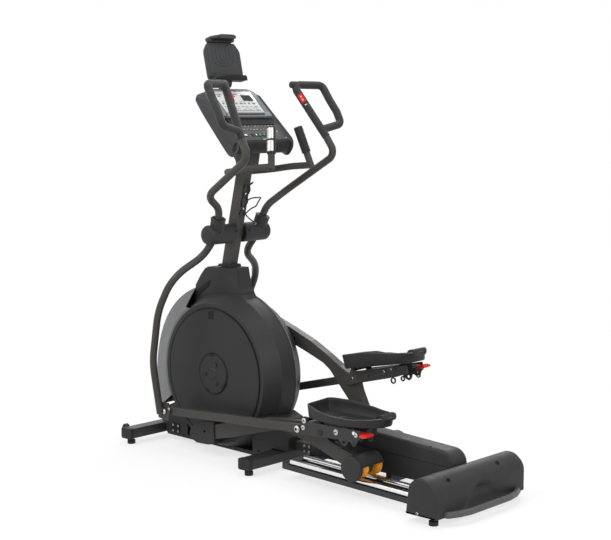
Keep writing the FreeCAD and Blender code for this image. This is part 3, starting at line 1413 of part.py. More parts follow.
def make_pedal_arm(side_word, side):
    name = f"{side_word}Bar"
    bar_inner = S.bar_y - S.bar_width / 2
    bar_outer = S.bar_y + S.bar_width / 2
    low, high = mirrored(bar_inner, bar_outer, side)
    wall, depth = S.tube_wall, S.bar_depth / 2
    tube_body = new_body(f"{name}Tube")
    feature = pad(tube_body, "YZ_Plane", [rectangle(low, high, -depth, depth),
                                          rectangle(low + wall, high - wall, wall - depth,
                                                    depth - wall)],
                  -S.pedal_arm_length + 16, 30)
    middle = (number(low) + number(high)) / 2
    rounded(tube_body, feature, Vector(1, 0, 0), 4,
            lambda centre: abs(abs(centre.y - middle) - S.bar_width.value / 2) < 0.1)
    bar_place(tube_body, side_word)
    cheek = S.cheek_thickness
    cheek_line = [(-20, -14), (14, -24), (300, 6), (300, 26), (S.pedal_pin_along + 14, 36),
                  (S.pedal_pin_along + 8, 51), (S.pedal_pin_along - 8, 51),
                  (S.pedal_pin_along - 26, 22), (-14, 18)]
    inner_cheek = plate(f"{name}InnerCheek", cheek_line,
                        *mirrored(S.cheek_inner, S.cheek_inner + cheek, side), corner=3)
    side_plate = plate(f"{name}SidePlate",
                       [(-20, -19), (30, -24), (245, -22), (262, -44), (290, -44), (304, -22),
                        (322, -34), (346, -34), (356, -16), (372, -8), (372, 26),
                        (S.pedal_pin_along + 14, 36), (S.pedal_pin_along + 8, 51),
                        (S.pedal_pin_along - 8, 51), (S.pedal_pin_along - 26, 22), (-20, 19)],
                       *mirrored(bar_outer - cheek, bar_outer, side),
                       [(276, -31, 7), (334, -22, 5)], corner=3)
    lever_cheek = plate(f"{name}LeverCheek", rectangle(300, 372, -8, 24),
                        *mirrored(S.lever_inner - cheek - 2, S.lever_inner - 2, side), corner=4)
    bridge = plate(f"{name}Bridge", rectangle(24, 300, S.bridge_height, S.bridge_height + cheek),
                   *mirrored(S.cheek_inner, bar_outer, side))
    prop = plate(f"{name}Prop", [(304, 6), (372, 6), (372, 24), (350, 24), (346, 37), (310, 37),
                                 (300, 30), (296, 20)],
                 *mirrored(S.cheek_inner + 40, S.lever_inner - cheek - 1, side))
    for piece in (inner_cheek, side_plate, lever_cheek, bridge, prop):
        bar_place(piece, side_word)
    eye = bar_pin(f"{name}Eye", side_word, 24, low, high, -S.pedal_arm_length, 0)
    pivot_boss = bar_pin(f"{name}PivotBoss", side_word, 17,
                         *mirrored(S.link_y + S.link_width / 2 + 3, bar_inner + 1, side), 0, 0)
    pivot_pin = bar_pin(f"{name}PivotPin", side_word, S.pivot_pin_radius,
                        *mirrored(S.cheek_inner - 3, bar_outer + 2, side), 0, 0)
    pivot_head = bar_pin(f"{name}PivotHead", side_word, S.pivot_pin_radius + 4,
                         *mirrored(bar_outer, bar_outer + 5, side), 0, 0)
    pedal_pin = bar_pin(f"{name}PedalPin", side_word, S.pedal_pin_radius,
                        *mirrored(S.cheek_inner - 3, bar_outer + 4, side),
                        S.pedal_pin_along, S.pedal_pin_up)
    lever_pin = bar_pin(f"{name}LeverPin", side_word, S.lever_pin_radius,
                        *mirrored(S.lever_inner - cheek - 2, bar_outer + 3, side),
                        S.lever_along, S.lever_up)
    welded = joined(f"{name}Welded",
                    [tube_body, inner_cheek, side_plate, lever_cheek, bridge, prop, eye,
                     pivot_boss, pivot_pin, pivot_head, pedal_pin, lever_pin])
    eye_bore = bar_pin(f"{name}EyeBore", side_word, 9,
                       *mirrored(bar_inner - 1, bar_outer + 1, side), -S.pedal_arm_length, 0)
    keep(f"{side_word}_pedal_arm", drilled(f"{side_word}_pedal_arm", welded, [eye_bore]))


def pedal_plan(side, inset):
    """Foot plate seen from above, from the pedal pin: blunt toe, widest in the middle."""
    toe, heel = S.pedal_front - S.pedal_pin_along, S.pedal_rear - S.pedal_pin_along
    inner, outer = S.pedal_inner, S.pedal_outer
    points = [(toe + inset, inner + 12 + inset), (toe + 22, inner + 2 + inset),
              (toe + 110, inner + inset), (toe + 300, inner + 2 + inset),
              (heel - 30, inner + 14 + inset), (heel - inset, inner + 48),
              (heel - inset, outer - 84), (heel - 50, outer - 34 - inset),
              (heel - 130, outer - 8 - inset), (toe + 160, outer - inset),
              (toe + 60, outer - 14 - inset), (toe + inset, outer - 42 - inset)]
    return [(x, y * side) for x, y in points]


def make_pedal(side_word, side):
    base = S.pedal_base - S.pedal_thickness - S.pedal_pin_up
    floor = base + S.pedal_thickness
    rim = floor + S.pedal_rim
    body = new_body(f"{side_word}PedalTray")
    feature = pad(body, "XY_Plane", [pedal_plan(side, 0)], base, rim + 14)
    rounded(body, feature, Vector(0, 0, 1), 12)
    pocket(body, "XY_Plane", [pedal_plan(side, S.pedal_wall.value)], floor, rim + 15)
    toe, heel = S.pedal_front - S.pedal_pin_along, S.pedal_rear - S.pedal_pin_along
    pocket(body, "XZ_Plane", [[(toe - 5, rim + 12), (heel + 5, rim - 6), (heel + 5, rim + 30),
                               (toe - 5, rim + 30)]],
           *mirrored(0, S.pedal_outer + 5, side))
    middle = (S.pedal_inner + S.pedal_outer) / 2
    pocket(body, "XZ_Plane", [[(toe + 30, rim + 20), (toe + 60, rim + 2), (toe + 150, floor + 12),
                               (heel - 60, floor + 9), (heel - 20, floor + 22),
                               (heel + 5, floor + 26), (heel + 5, rim + 30),
                               (toe + 30, rim + 30)]],
           *mirrored(middle, S.pedal_outer + 5, side))
    bar_place(body, side_word, S.pedal_pin_along, S.pedal_pin_up, S.pedal_tilt.value)
    pieces = [body]
    for index, start in enumerate((S.cheek_inner + S.cheek_thickness + 2,
                                   S.bar_y + S.bar_width / 2 - S.cheek_thickness - 10)):
        lug = plate(f"{side_word}PedalLug{index}",
                    [(-10, -5), (-5, -10), (5, -10), (10, -5), (16, base + 1), (-16, base + 1)],
                    *mirrored(start, start + 8, side))
        bar_place(lug, side_word, S.pedal_pin_along, S.pedal_pin_up, S.pedal_tilt.value)
        pieces.append(lug)
    bore = bar_pin(f"{side_word}PedalBore", side_word, S.pedal_pin_radius + S.journal_gap,
                   *mirrored(S.cheek_inner, S.pedal_outer, side), S.pedal_pin_along,
                   S.pedal_pin_up)
    keep(f"{side_word}_pedal",
         drilled(f"{side_word}_pedal", joined(f"{side_word}PedalForm", pieces), [bore]))


def make_pedal_lever(side_word, side):
    low, high = mirrored(S.lever_inner, S.bar_y + S.bar_width / 2 - S.cheek_thickness - 1, side)
    outline = [(-9, -6), (0, -10), (10, -7), (44, -12), (56, -8), (56, 2), (44, 2), (12, 7),
               (0, 10), (-9, 6)]
    lever = plate(f"{side_word}_pedal_lever", outline, low, high,
                  [(0, 0, S.lever_pin_radius + S.journal_gap)], corner=2)
    bar_place(lever, side_word, S.lever_along, S.lever_up)
    keep(f"{side_word}_pedal_lever", lever)


# ---------------------------------------------------------------- handlebar, console, holder
def make_handlebar():
    radius = S.bar_radius.value
    post_x, post_z, post_y = S.post_x.value, S.post_z.value, S.post_y.value
    nose_z = S.bar_nose_height.value
    nose_x = mast_x(nose_z, -S.mast_depth.value / 2) - radius - 2
    lean_x, lean_y, lean_z = -47, -46, 190
    reach = S.post_length.value + S.post_grip_start.value
    size = math.sqrt(lean_x ** 2 + lean_y ** 2 + lean_z ** 2)
    top = (post_x + lean_x * reach / size, post_y + lean_y * reach / size,
           post_z + lean_z * reach / size)
    half = [top, (post_x, post_y, post_z), (279, post_y - 1, post_z - 10),
            (150, post_y - 14, nose_z + 13), (62, 92, nose_z + 4), (nose_x, 40, nose_z)]
    points = [(x, -y, z) for x, y, z in half] + half[::-1]
    bar = shaped("HandlebarTube", rod(points, radius, 55))
    saddle = drawn_here(plate("HandlebarSaddle",
                              [(nose_x, nose_z - 12), (mast_x(nose_z - 12, -30), nose_z - 12),
                               (mast_x(nose_z + 12, -30), nose_z + 12), (nose_x, nose_z + 12)],
                              -20, 20))
    keep("handlebar", joined("handlebar", [bar, saddle]))
    heading = Vector(lean_x, lean_y, lean_z).normalize()
    make_pulse_grips(Vector(post_x, post_y, post_z), heading, reach)


def make_pulse_grips(post, heading, reach):
    start = post + heading * S.post_grip_start.value
    end = post + heading * (reach + 6)
    radius = S.pulse_radius.value
    inner = S.bar_radius.value + S.journal_gap.value
    sleeves = []
    plates = []
    for side in (-1, 1):
        foot = Vector(start.x, start.y * side, start.z)
        tip = Vector(end.x, end.y * side, end.z)
        along = (tip - foot).normalize()
        solid = Part.makeCylinder(radius, (tip - foot).Length, foot, along)
        bore = Part.makeCylinder(inner, (tip - foot).Length - 5.9, foot, along)
        sleeves.append(shaped(f"PulseSleeve{side + 1}", solid.cut(bore)))
        across = Vector(1, 0.87 / 0.5 * side, 0)
        across = (across - along * across.dot(along)).normalize()
        for row in (8, 68):
            band_foot = foot + along * row
            band = Part.makeCylinder(S.plate_radius.value, 50, band_foot, along)
            band = band.cut(Part.makeCylinder(radius + 0.05, 50, band_foot, along))
            split = Part.makeBox(70, 60, 60, Vector(4, -30, -5))
            split.Placement = Placement(band_foot, Rotation(across, along.cross(across), along,
                                                            "XYZ"))
            plates.append(shaped(f"PulsePlate{side + 1}{row}", band.common(split)))
    keep("pulse_grips", group("pulse_grips", sleeves))
    keep("pulse_plates", group("pulse_plates", plates))


def console_place(thing):
    """Console pieces are drawn with X up the face, Y across and Z into the console."""
    place(thing, S.console_low_x, 0, S.console_low_z, lean(90 + S.console_lean.value))
    return thing


def make_console():
    half = S.console_width / 2
    length = S.console_length + 39
    body = new_body("ConsoleSlab")
    pad(body, "XZ_Plane", [[(0, 0), (length, 0), (length, 28), (250, 42), (40, 54), (-8, 52),
                            (-14, 8)]], -half, half)
    pocket(body, "XZ_Plane", [[(4, -1), (length - 4, -1), (length - 4, 25), (249, 38), (40, 50),
                               (-4, 48), (-4, 12), (4, 8)]], -half + 4, half - 4)
    console_place(body)
    low = S.neck_bottom
    neck_outline = [(mast_x(low.value, -42), low), (mast_x(low.value, 42), low), (165, 1446),
                    (190, 1472), (168, 1522), (52, 1642), (24, 1510), (32, 1432)]
    neck = drawn_here(plate("ConsoleNeck", neck_outline, -48, 48, corner=8))
    console_hollow = console_place(plate("NeckTrim", [(0, -60), (length, -60), (length - 4, 25),
                                                      (249, 38), (40, 50), (4, 38)], -60, 60))
    form = joined("ConsoleForm", [body, without("NeckForm", neck, console_hollow)])
    gap = S.seat_gap.value
    wall = S.mast_depth.value / 2 + gap
    top = S.mast_top.value + gap
    room_outline = [(mast_x(low.value - 20, -wall), low - 20), (mast_x(low.value - 20, wall),
                                                                low - 20),
                    (mast_x(top, wall), top), (mast_x(top, -wall), top)]
    side = S.mast_width / 2 + S.seat_gap
    room = drawn_here(plate("MastSocket", room_outline, -side, side))
    keep("console_back", drilled("console_back", form, [room]))

    face = new_body("console_face")
    pad(face, "XY_Plane", [rectangle(0, length, -half, half)], -S.face_thickness, 0)
    pocket(face, "XY_Plane", [rectangle(S.display_low, S.display_low + S.display_height,
                                        -S.display_width / 2, S.display_width / 2)],
           -S.face_thickness - 1, -S.face_thickness + S.display_depth)
    keep("console_face", console_place(face))
    gap = S.seat_gap
    display = plate("display", rectangle(S.display_low + gap,
                                         S.display_low + S.display_height - gap,
                                         -(S.display_width / 2) + gap,
                                         S.display_width / 2 - gap),
                    -S.face_thickness + 1, -S.face_thickness + S.display_depth,
                    role="XY_Plane")
    keep("display", console_place(display))


def holder_place(thing):
    """Tablet holder pieces are drawn with X up the plate and Z towards the front."""
    place(thing, S.holder_base_x, 0, S.holder_base_z, lean(90 + S.holder_lean.value))
    return thing


def make_tablet_holder():
    half = S.holder_width / 2
    thick = S.holder_thickness
    back = holder_place(plate("HolderPlate", [(0, half * -1 + 14), (14, -half),
                                              (S.holder_height - 40, -half),
                                              (S.holder_height, -half + 32),
                                              (S.holder_height, half - 32),
                                              (S.holder_height - 40, half), (14, half),
                                              (0, half - 14)], 0, thick, role="XY_Plane"))
    ledge_half = half - 14
    ledge = holder_place(plate("HolderLedge", [(0, -S.ledge_depth), (6, -S.ledge_depth), (6, 1),
                                               (0, 1)], -ledge_half, ledge_half))
    lip = holder_place(plate("HolderLip", rectangle(0, 18, -S.ledge_depth, -S.ledge_depth + 4),
                             -ledge_half, ledge_half))
    top = S.console_length + 39 + S.seat_gap
    stem_foot = [console_point(top, 4), console_point(top, 24)]
    stem_top = [holder_point(40, thick), holder_point(2, thick), holder_point(1, 2)]
    stem = drawn_here(plate("HolderStem", [*stem_foot, *stem_top], -34, 34))
    keep("tablet_holder", joined("tablet_holder", [back, ledge, lip, stem]))


def rotated(origin, angle, along, across):
    turn = math.radians(angle)
    return (origin[0] + number(along) * math.cos(turn) - number(across) * math.sin(turn),
            origin[1] + number(along) * math.sin(turn) + number(across) * math.cos(turn))


def console_point(along, depth):
    """XZ place of a point up the console's face and into it."""
    return rotated((S.console_low_x.value, S.console_low_z.value), 90 + S.console_lean.value,
                   along, depth)


def holder_point(along, depth):
    return rotated((S.holder_base_x.value, S.holder_base_z.value), 90 + S.holder_lean.value,
                   along, depth)


def make_tablet_clamp():
    thick = S.holder_thickness + S.seat_gap
    height = S.holder_height
    half = S.clamp_width / 2
    blade = holder_place(plate("ClampBlade", rectangle(height - 60, height + S.clamp_rise, -half,
                                                       half), thick, thick + 5,
                               role="XY_Plane"))
    jaw = holder_place(plate("ClampJaw", [(height + S.clamp_rise - 8, -30),
                                          (height + S.clamp_rise, -30),
                                          (height + S.clamp_rise, thick + 5),
                                          (height + S.clamp_rise - 8, thick + 5)],
                             -half, half, corner=2))
    lip = holder_place(plate("ClampLip", rectangle(height + S.clamp_rise - 18,
                                                   height + S.clamp_rise - 1, -30, -26),
                             -half, half))
    keep("tablet_clamp", joined("tablet_clamp", [blade, jaw, lip]))


def make_bottle_cage():
    """Wire cage with two hoops and a floor, on a strip bolted to the mast's rear face."""
    base = S.cage_bottom.value
    origin = (mast_x(base, S.mast_depth.value / 2 + S.seat_gap.value), base)
    radius = S.cage_wire.value
    hoop = S.cage_radius.value
    reach = S.cage_height.value

    def cage_place(thing):
        place(thing, origin[0], 0, origin[1], lean(90 - S.mast_lean.value))
        return thing

    strip = cage_place(plate("CageStrip", [(0, -14), (reach, -14), (reach, 14), (0, 14)], -4, 0,
                             role="XY_Plane"))
    middle = -hoop - 3
    hoops = []
    for index, level in enumerate((radius + 2, reach * 0.45, reach * 0.85)):
        ring = Part.makeTorus(hoop, radius, Vector(level, 0, middle), Vector(1, 0, 0))
        hoops.append(cage_place(shaped(f"CageHoop{index}", ring)))
    wires = []
    for index, turn in enumerate((60, 120, 180, 240, 300)):
        angle = math.radians(turn)
        y, z = hoop * math.sin(angle), middle + hoop * math.cos(angle)
        wire = Part.makeCylinder(radius * 0.9, reach * 0.85 - 2, Vector(radius + 2, y, z),
                                 Vector(1, 0, 0))
        wires.append(cage_place(shaped(f"CageWire{index}", wire)))
    floor = Part.makeCylinder(hoop, 2.5, Vector(radius + 1, 0, middle), Vector(1, 0, 0))
    wires.append(cage_place(shaped("CageFloor", floor)))
    keep("bottle_cage", joined("bottle_cage", [strip, *hoops, *wires]))


def make_frame_bolts():
    """Hexagon heads on both flanks of the spine over the front and mid stabilizers."""
    half = S.spine_width.value / 2
    height = S.spine_bottom.value + S.spine_depth.value / 2
    bolts = []
    for side in (-1, 1):
        for group_x in (-S.front_stabilizer_x.value, S.mid_stabilizer_x.value + 145):
            for step_x in (-15, 15):
                for step_z in (-12, 12):
                    corners = [Vector(group_x + step_x + 7 * math.cos(math.radians(60 * k)), 0,
                                      height + step_z + 7 * math.sin(math.radians(60 * k)))
                               for k in range(6)]
                    face = Part.Face(Part.makePolygon(corners + corners[:1]))
                    head = face.extrude(Vector(0, 5 * side, 0))
                    bolts.append(shaped(f"FrameBolt{len(bolts)}", head, 0, half * side, 0))
    keep("frame_bolts", group("frame_bolts", bolts))


# ---------------------------------------------------------------- build, check and write
make_base_frame()
make_stabilizers()
make_transport_wheels()
make_rails()
make_centre_cover()
make_rear_cover()
make_rear_handle()
make_mast()
make_pivot_shaft()
make_drum_housing()
make_tower_collar()
make_side_covers()
make_front_trim()
make_base_cover()
make_crankset()
make_drive()
for side_word, side in SIDES.items():
    make_arm_tubes(side_word, side)
    make_pivot_housing(side_word, side)
    make_grip(side_word, side)
    make_roller_arm(side_word, side)
    make_link_covers(side_word, side)
    make_rollers(side_word, side)
    make_pedal_arm(side_word, side)
    make_pedal(side_word, side)
    make_pedal_lever(side_word, side)
make_handlebar()
make_console()
make_tablet_holder()
make_tablet_clamp()
make_bottle_cage()
make_frame_bolts()
doc.recompute()

for item in doc.Objects:
    if "Invalid" in item.State or "Error" in item.State:
        raise RuntimeError(f"{item.Name} failed: {item.State}")
for name, thing in PARTS:
    if thing.Shape.isNull() or not thing.Shape.isValid():
        raise RuntimeError(f"{name} has no valid shape")
for name, thing in PARTS:
    thing.Shape.exportStep(f"parts/{name}.step")
print(len(PARTS), "pieces written")
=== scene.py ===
"""Looks of the elliptical trainer: camera, light, materials and the pieces that carry detail."""
import bmesh
import bpy
import json
from math import cos, pi, radians, sin, sqrt, tan
from mathutils import Matrix, Vector


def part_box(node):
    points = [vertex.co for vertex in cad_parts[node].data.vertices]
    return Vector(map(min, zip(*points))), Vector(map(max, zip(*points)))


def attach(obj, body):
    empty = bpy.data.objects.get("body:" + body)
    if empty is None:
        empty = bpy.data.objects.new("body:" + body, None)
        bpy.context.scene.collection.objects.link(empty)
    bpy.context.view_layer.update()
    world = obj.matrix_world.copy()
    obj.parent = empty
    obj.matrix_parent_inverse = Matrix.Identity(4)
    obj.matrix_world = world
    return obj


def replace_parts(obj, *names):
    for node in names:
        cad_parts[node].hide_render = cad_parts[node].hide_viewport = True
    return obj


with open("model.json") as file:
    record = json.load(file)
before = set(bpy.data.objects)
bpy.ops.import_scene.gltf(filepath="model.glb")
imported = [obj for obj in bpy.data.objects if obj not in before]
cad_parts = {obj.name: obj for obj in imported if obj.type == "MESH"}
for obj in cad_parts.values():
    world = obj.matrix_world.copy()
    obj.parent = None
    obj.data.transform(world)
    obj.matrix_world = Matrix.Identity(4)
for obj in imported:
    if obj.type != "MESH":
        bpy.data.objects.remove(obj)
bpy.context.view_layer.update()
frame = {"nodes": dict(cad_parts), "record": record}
nodes = frame["nodes"]
record = frame["record"]
scene = bpy.context.scene
scene.view_settings.view_transform = "Standard"

# ---- camera
CAMERA_AZIMUTH = radians(43.569)
CAMERA_ELEVATION = radians(7.070)
CAMERA_DISTANCE = 6.22
CAMERA_TARGET = Vector((-0.02475, 0.0, 0.936))
CAMERA_LENS = 79.17                               # millimetres


def aim(thing, place, target):
    thing.location = place
    heading = Vector(target) - Vector(place)
    thing.rotation_euler = heading.to_track_quat("-Z", "Y").to_euler()


def add_camera():
    camera = bpy.data.objects.new("Camera", bpy.data.cameras.new("Camera"))
    scene.collection.objects.link(camera)
    scene.camera = camera
    level = cos(CAMERA_ELEVATION)
    back = Vector((sin(CAMERA_AZIMUTH) * level, -cos(CAMERA_AZIMUTH) * level,
        sin(CAMERA_ELEVATION)))
    aim(camera, CAMERA_TARGET + back * CAMERA_DISTANCE, CAMERA_TARGET)
    camera.data.sensor_fit = "HORIZONTAL"
    camera.data.sensor_width = 36.0
    camera.data.lens = CAMERA_LENS
    camera.data.clip_end = 60


# ---- materials
def node(tree, kind, *sources, **values):
    """A shader node. Sources are linked to its first inputs in turn. A value or an output goes to
    the input of its name, with _ for a space, or else to a setting."""
    made = tree.nodes.new("ShaderNode" + kind)
    for key, value in values.items():
        socket = made.inputs.get(key.replace("_", " "))
        if socket is None:
            setattr(made, key, value)
        elif isinstance(value, bpy.types.NodeSocket):
            tree.links.new(value, socket)
        else:
            socket.default_value = value
    for index, source in enumerate(sources):
        tree.links.new(source, made.inputs[index])
    return made


def color_between(tree, source, low, high, start=0.0, end=1.0):
    """A colour that runs from low to high while the source runs from start to end."""
    ramp = node(tree, "ValToRGB", Fac=source)
    for stop, place, color in zip(ramp.color_ramp.elements, (start, end), (low, high)):
        stop.position = place
        stop.color = (*color, 1)
    return ramp.outputs["Color"]


def spread(tree, source, start, end, low, high):
    """A value that runs from low to high while the source runs from start to end."""
    return node(tree, "MapRange", Value=source, From_Min=start, From_Max=end, To_Min=low,
        To_Max=high).outputs["Result"]


def finish(name, color, rough, vary=(7.0, 0.12), smudge=(22.0, 0.07), grain=(900.0, 0.10, 0.0002),
        edge=(0.0015, 0.0), cells=False, metallic=0.0, coat=0.0, coat_rough=0.2, specular=0.22,
        stretch=(1, 1, 1), sheen=0.0):
    """A surface with patchy colour, uneven gloss, fine grain and edges made lighter partly by wear
    and partly by a painted highlight.

    vary and smudge hold a scale and an amount, grain a scale, a strength and a depth, and edge
    a radius and an amount."""
    made = bpy.data.materials.new(name)
    made.use_nodes = True
    made.diffuse_color = (*color, 1)
    tree = made.node_tree
    tree.nodes.clear()
    place = node(tree, "TexCoord").outputs["Object"]
    patch = node(tree, "TexNoise", Vector=place, Scale=vary[0], Detail=5.0, Roughness=0.6)
    low, high = ([min(1.0, c * (1 + sign * vary[1])) for c in color] for sign in (-1, 1))
    shade = color_between(tree, patch.outputs["Fac"], low, high, 0.32, 0.68)
    # Lighter edges where the bevelled normal turns from the true one: partly wear, partly a
    # painted highlight like the one satin paint shows on its rims.
    if edge[1]:
        bevel = node(tree, "Bevel", samples=4, Radius=edge[0])
        dot = node(tree, "VectorMath", bevel.outputs["Normal"],
            node(tree, "NewGeometry").outputs["Normal"], operation="DOT_PRODUCT")
        edge_wear_and_highlight = node(tree, "Mix", spread(tree, dot.outputs["Value"], 0.995, 0.85, 0.0, edge[1]),
            data_type="RGBA")
        edge_wear_and_highlight.inputs[7].default_value = (*[min(1.0, c * 2.2 + 0.05) for c in color], 1)
        tree.links.new(shade, edge_wear_and_highlight.inputs[6])
        shade = edge_wear_and_highlight.outputs[2]
    rub = node(tree, "TexNoise", Vector=place, Scale=smudge[0], Detail=4.0)
    gloss = spread(tree, rub.outputs["Fac"], 0.3, 0.7, max(0.02, rough - smudge[1]),
        min(1.0, rough + smudge[1]))
    along = node(tree, "Mapping", Vector=place, Scale=stretch).outputs["Vector"]
    if cells:
        height = node(tree, "TexVoronoi", Vector=along, Scale=grain[0]).outputs["Distance"]
    else:
        height = node(tree, "TexNoise", Vector=along, Scale=grain[0], Detail=3.0,
            Roughness=0.7).outputs["Fac"]
    bump = node(tree, "Bump", Height=height, Strength=grain[1], Distance=grain[2])
    shader = node(tree, "BsdfPrincipled", Base_Color=shade, Roughness=gloss,
        Normal=bump.outputs["Normal"], Metallic=metallic, Specular_IOR_Level=specular,
        Coat_Weight=coat, Coat_Roughness=coat_rough, Sheen_Weight=sheen, Sheen_Roughness=0.5)
    node(tree, "OutputMaterial", Surface=shader.outputs[0])
    return made


MAT = {}
WEARS = {    # * stands for left and right
    "paint": "base_frame mast *_arm_tubes *_roller_arm *_pedal_arm handlebar",
    "handle": "rear_handle",
    "dark_paint": "front_stabilizer mid_stabilizer rear_stabilizer rail_frame bottle_cage "
            "brake_unit",
    "cover": "centre_cover rear_cover drum_housing *_side_cover base_cover *_link_covers",
    "housing": "*_pivot_housing *_pedal",
    "band": "*_crank_disc crank_caps",
    # front trim: a lighter grey that is a painted reflection of the bright surroundings on its
    # curved face
    "trim": "front_trim",
    "black": "stabilizer_caps pulse_grips transport_wheels",
    "grip": "*_grip",
    "rubber": "tower_collar levelling_feet",
    "tyre": "*_rollers",
    "chrome": "guide_rails",
    "plate": "pulse_plates",
    "steel": "pivot_shaft crank_bearings crank_axle frame_bolts",
    "alloy": "drive_pulley idler_wheel",
    "iron": "flywheel",
    "belt": "drive_belt",
    "red": "*_grip_button *_pedal_lever",
    "console": "console_back tablet_holder tablet_clamp",
    "console_light": "console_face",
    "screen": "display"}


def make_materials():
    MAT.update(
        paint=finish("tube_paint", (0.050, 0.047, 0.042), 0.42, (5, 0.10), (18, 0.06),
            (1400, 0.04, 0.0001), (0.002, 0.35), coat=0.06, coat_rough=0.3, specular=0.18),
        dark_paint=finish("frame_paint", (0.026, 0.026, 0.026), 0.40, (6, 0.12), (20, 0.06),
            (1300, 0.08, 0.0001), (0.002, 0.3), coat=0.2, coat_rough=0.3),
        cover=finish("cover_plastic", (0.026, 0.026, 0.0262), 0.52, (4, 0.08), (12, 0.05),
            (1500, 0.35, 0.00025), (0.0018, 0.25), cells=True),
        housing=finish("housing_plastic", (0.030, 0.030, 0.031), 0.55, (6, 0.08), (15, 0.05),
            (1600, 0.35, 0.00025), (0.0018, 0.2), cells=True),
        band=finish("disc_plastic", (0.022, 0.022, 0.0222), 0.42, (4, 0.06), (9, 0.05),
            (700, 0.04, 0.0001), (0.001, 0.2)),
        handle=finish("handle_paint", (0.085, 0.085, 0.080), 0.40, (9, 0.08), (24, 0.06),
            (1200, 0.05, 0.0001), (0.002, 0.3)),
        # Lighter than the covers: a painted reflection on the front trim, and a painted highlight
        # on the far edge stripe.
        trim=finish("trim_plastic", (0.125, 0.127, 0.13), 0.45, (6, 0.05), (14, 0.05),
            (1500, 0.15, 0.0001), (0.001, 0.1)),
        black=finish("black_plastic", (0.018, 0.018, 0.018), 0.5, (8, 0.1), (20, 0.08),
            (1500, 0.25, 0.0002), (0.0015, 0.2), cells=True),
        grip=finish("grip_foam", (0.020, 0.020, 0.021), 0.78, (10, 0.14), (30, 0.08),
            (1100, 0.6, 0.0006), specular=0.35, sheen=0.15),
        rubber=finish("soft_rubber", (0.014, 0.014, 0.014), 0.7, (9, 0.12), (25, 0.08),
            (900, 0.4, 0.0003), specular=0.35),
        tyre=finish("roller_tyre", (0.82, 0.32, 0.025), 0.42, (30, 0.08), (60, 0.1),
            (700, 0.25, 0.0002), (0.001, 0.15)),
        chrome=finish("rail_chrome", (0.78, 0.78, 0.80), 0.12, (8, 0.04), (40, 0.05),
            (600, 0.06, 0.0001), metallic=1.0, stretch=(0.04, 1, 1)),
        plate=finish("contact_plate", (0.66, 0.64, 0.62), 0.34, (20, 0.05), (80, 0.04),
            metallic=1.0, stretch=(1, 1, 0.05)),
        steel=finish("machined_steel", (0.45, 0.45, 0.46), 0.34, (30, 0.1), (90, 0.1),
            (1200, 0.2, 0.0001), (0.0006, 0.2), metallic=1.0),
        alloy=finish("cast_alloy", (0.5, 0.5, 0.52), 0.45, (20, 0.1), (60, 0.1),
            (700, 0.3, 0.0002), metallic=1.0),
        iron=finish("cast_iron", (0.16, 0.16, 0.16), 0.5, (20, 0.15), (50, 0.1),
            (500, 0.4, 0.0003), metallic=1.0),
        belt=finish("ribbed_belt", (0.02, 0.02, 0.02), 0.6, (20, 0.12), (60, 0.1),
            (300, 0.5, 0.0004), stretch=(0.05, 1, 0.05)),
        red=finish("red_plastic", (0.62, 0.018, 0.012), 0.36, (30, 0.06), (70, 0.06),
            (1500, 0.12, 0.0001), (0.0008, 0.12), coat=0.2),
        white=finish("white_print", (0.72, 0.72, 0.71), 0.45, (40, 0.04), (70, 0.06),
            (1500, 0.1, 0.0001)),
        console=finish("console_plastic", (0.060, 0.062, 0.065), 0.48, (6, 0.06), (15, 0.05),
            (1500, 0.3, 0.0002), (0.0015, 0.22), cells=True),
        console_light=finish("console_bezel", (0.17, 0.18, 0.19), 0.42, (6, 0.06), (15, 0.05),
            (1500, 0.2, 0.00015), (0.001, 0.15)),
        tray=finish("tray_plastic", (0.022, 0.0222, 0.0228), 0.46, (6, 0.08), (16, 0.06),
            (1500, 0.3, 0.0002), (0.0015, 0.2), cells=True),
        # Lighter grey for the foot trays' rim band: a painted highlight.
        edge_light=finish("tray_rim_painted_highlight", (0.075, 0.077, 0.08), 0.38, (20, 0.08), (40, 0.06),
            (1500, 0.1, 0.0001)),
        shell=finish("console_shell", (0.042, 0.043, 0.045), 0.50, (6, 0.06), (15, 0.05),
            (1500, 0.25, 0.0002), (0.0015, 0.22), cells=True),
        # Near-black: dark joints and seams, and also painted shade in screw bores, under the
        # console's shelf and under the clamp's lip.
        gap=finish("dark_joint_and_painted_shade", (0.006, 0.006, 0.006), 0.6, (20, 0.1), (40, 0.06),
            (1200, 0.1, 0.0001)),
        bolt=finish("zinc_bolt", (0.62, 0.62, 0.60), 0.28, (60, 0.08), (120, 0.08),
            (1400, 0.15, 0.0001), metallic=1.0),
        green=finish("green_print", (0.05, 0.30, 0.07), 0.4, (40, 0.05), (70, 0.05),
            (1500, 0.1, 0.0001)),
        print_dark=finish("dark_print", (0.12, 0.13, 0.13), 0.3, (30, 0.05), (60, 0.05),
            (1500, 0.05, 0.0001)),
        screen=finish("display_window", (0.52, 0.55, 0.54), 0.16, (3, 0.03), (8, 0.03),
            (400, 0.02, 0.0001), coat=0.6, coat_rough=0.05))


def dress_cad():
    for material, names in WEARS.items():
        for name in names.split():
            for word in ("left", "right") if "*" in name else ("",):
                worn = nodes[name.replace("*", word)].data.materials
                worn.clear()
                worn.append(MAT[material])


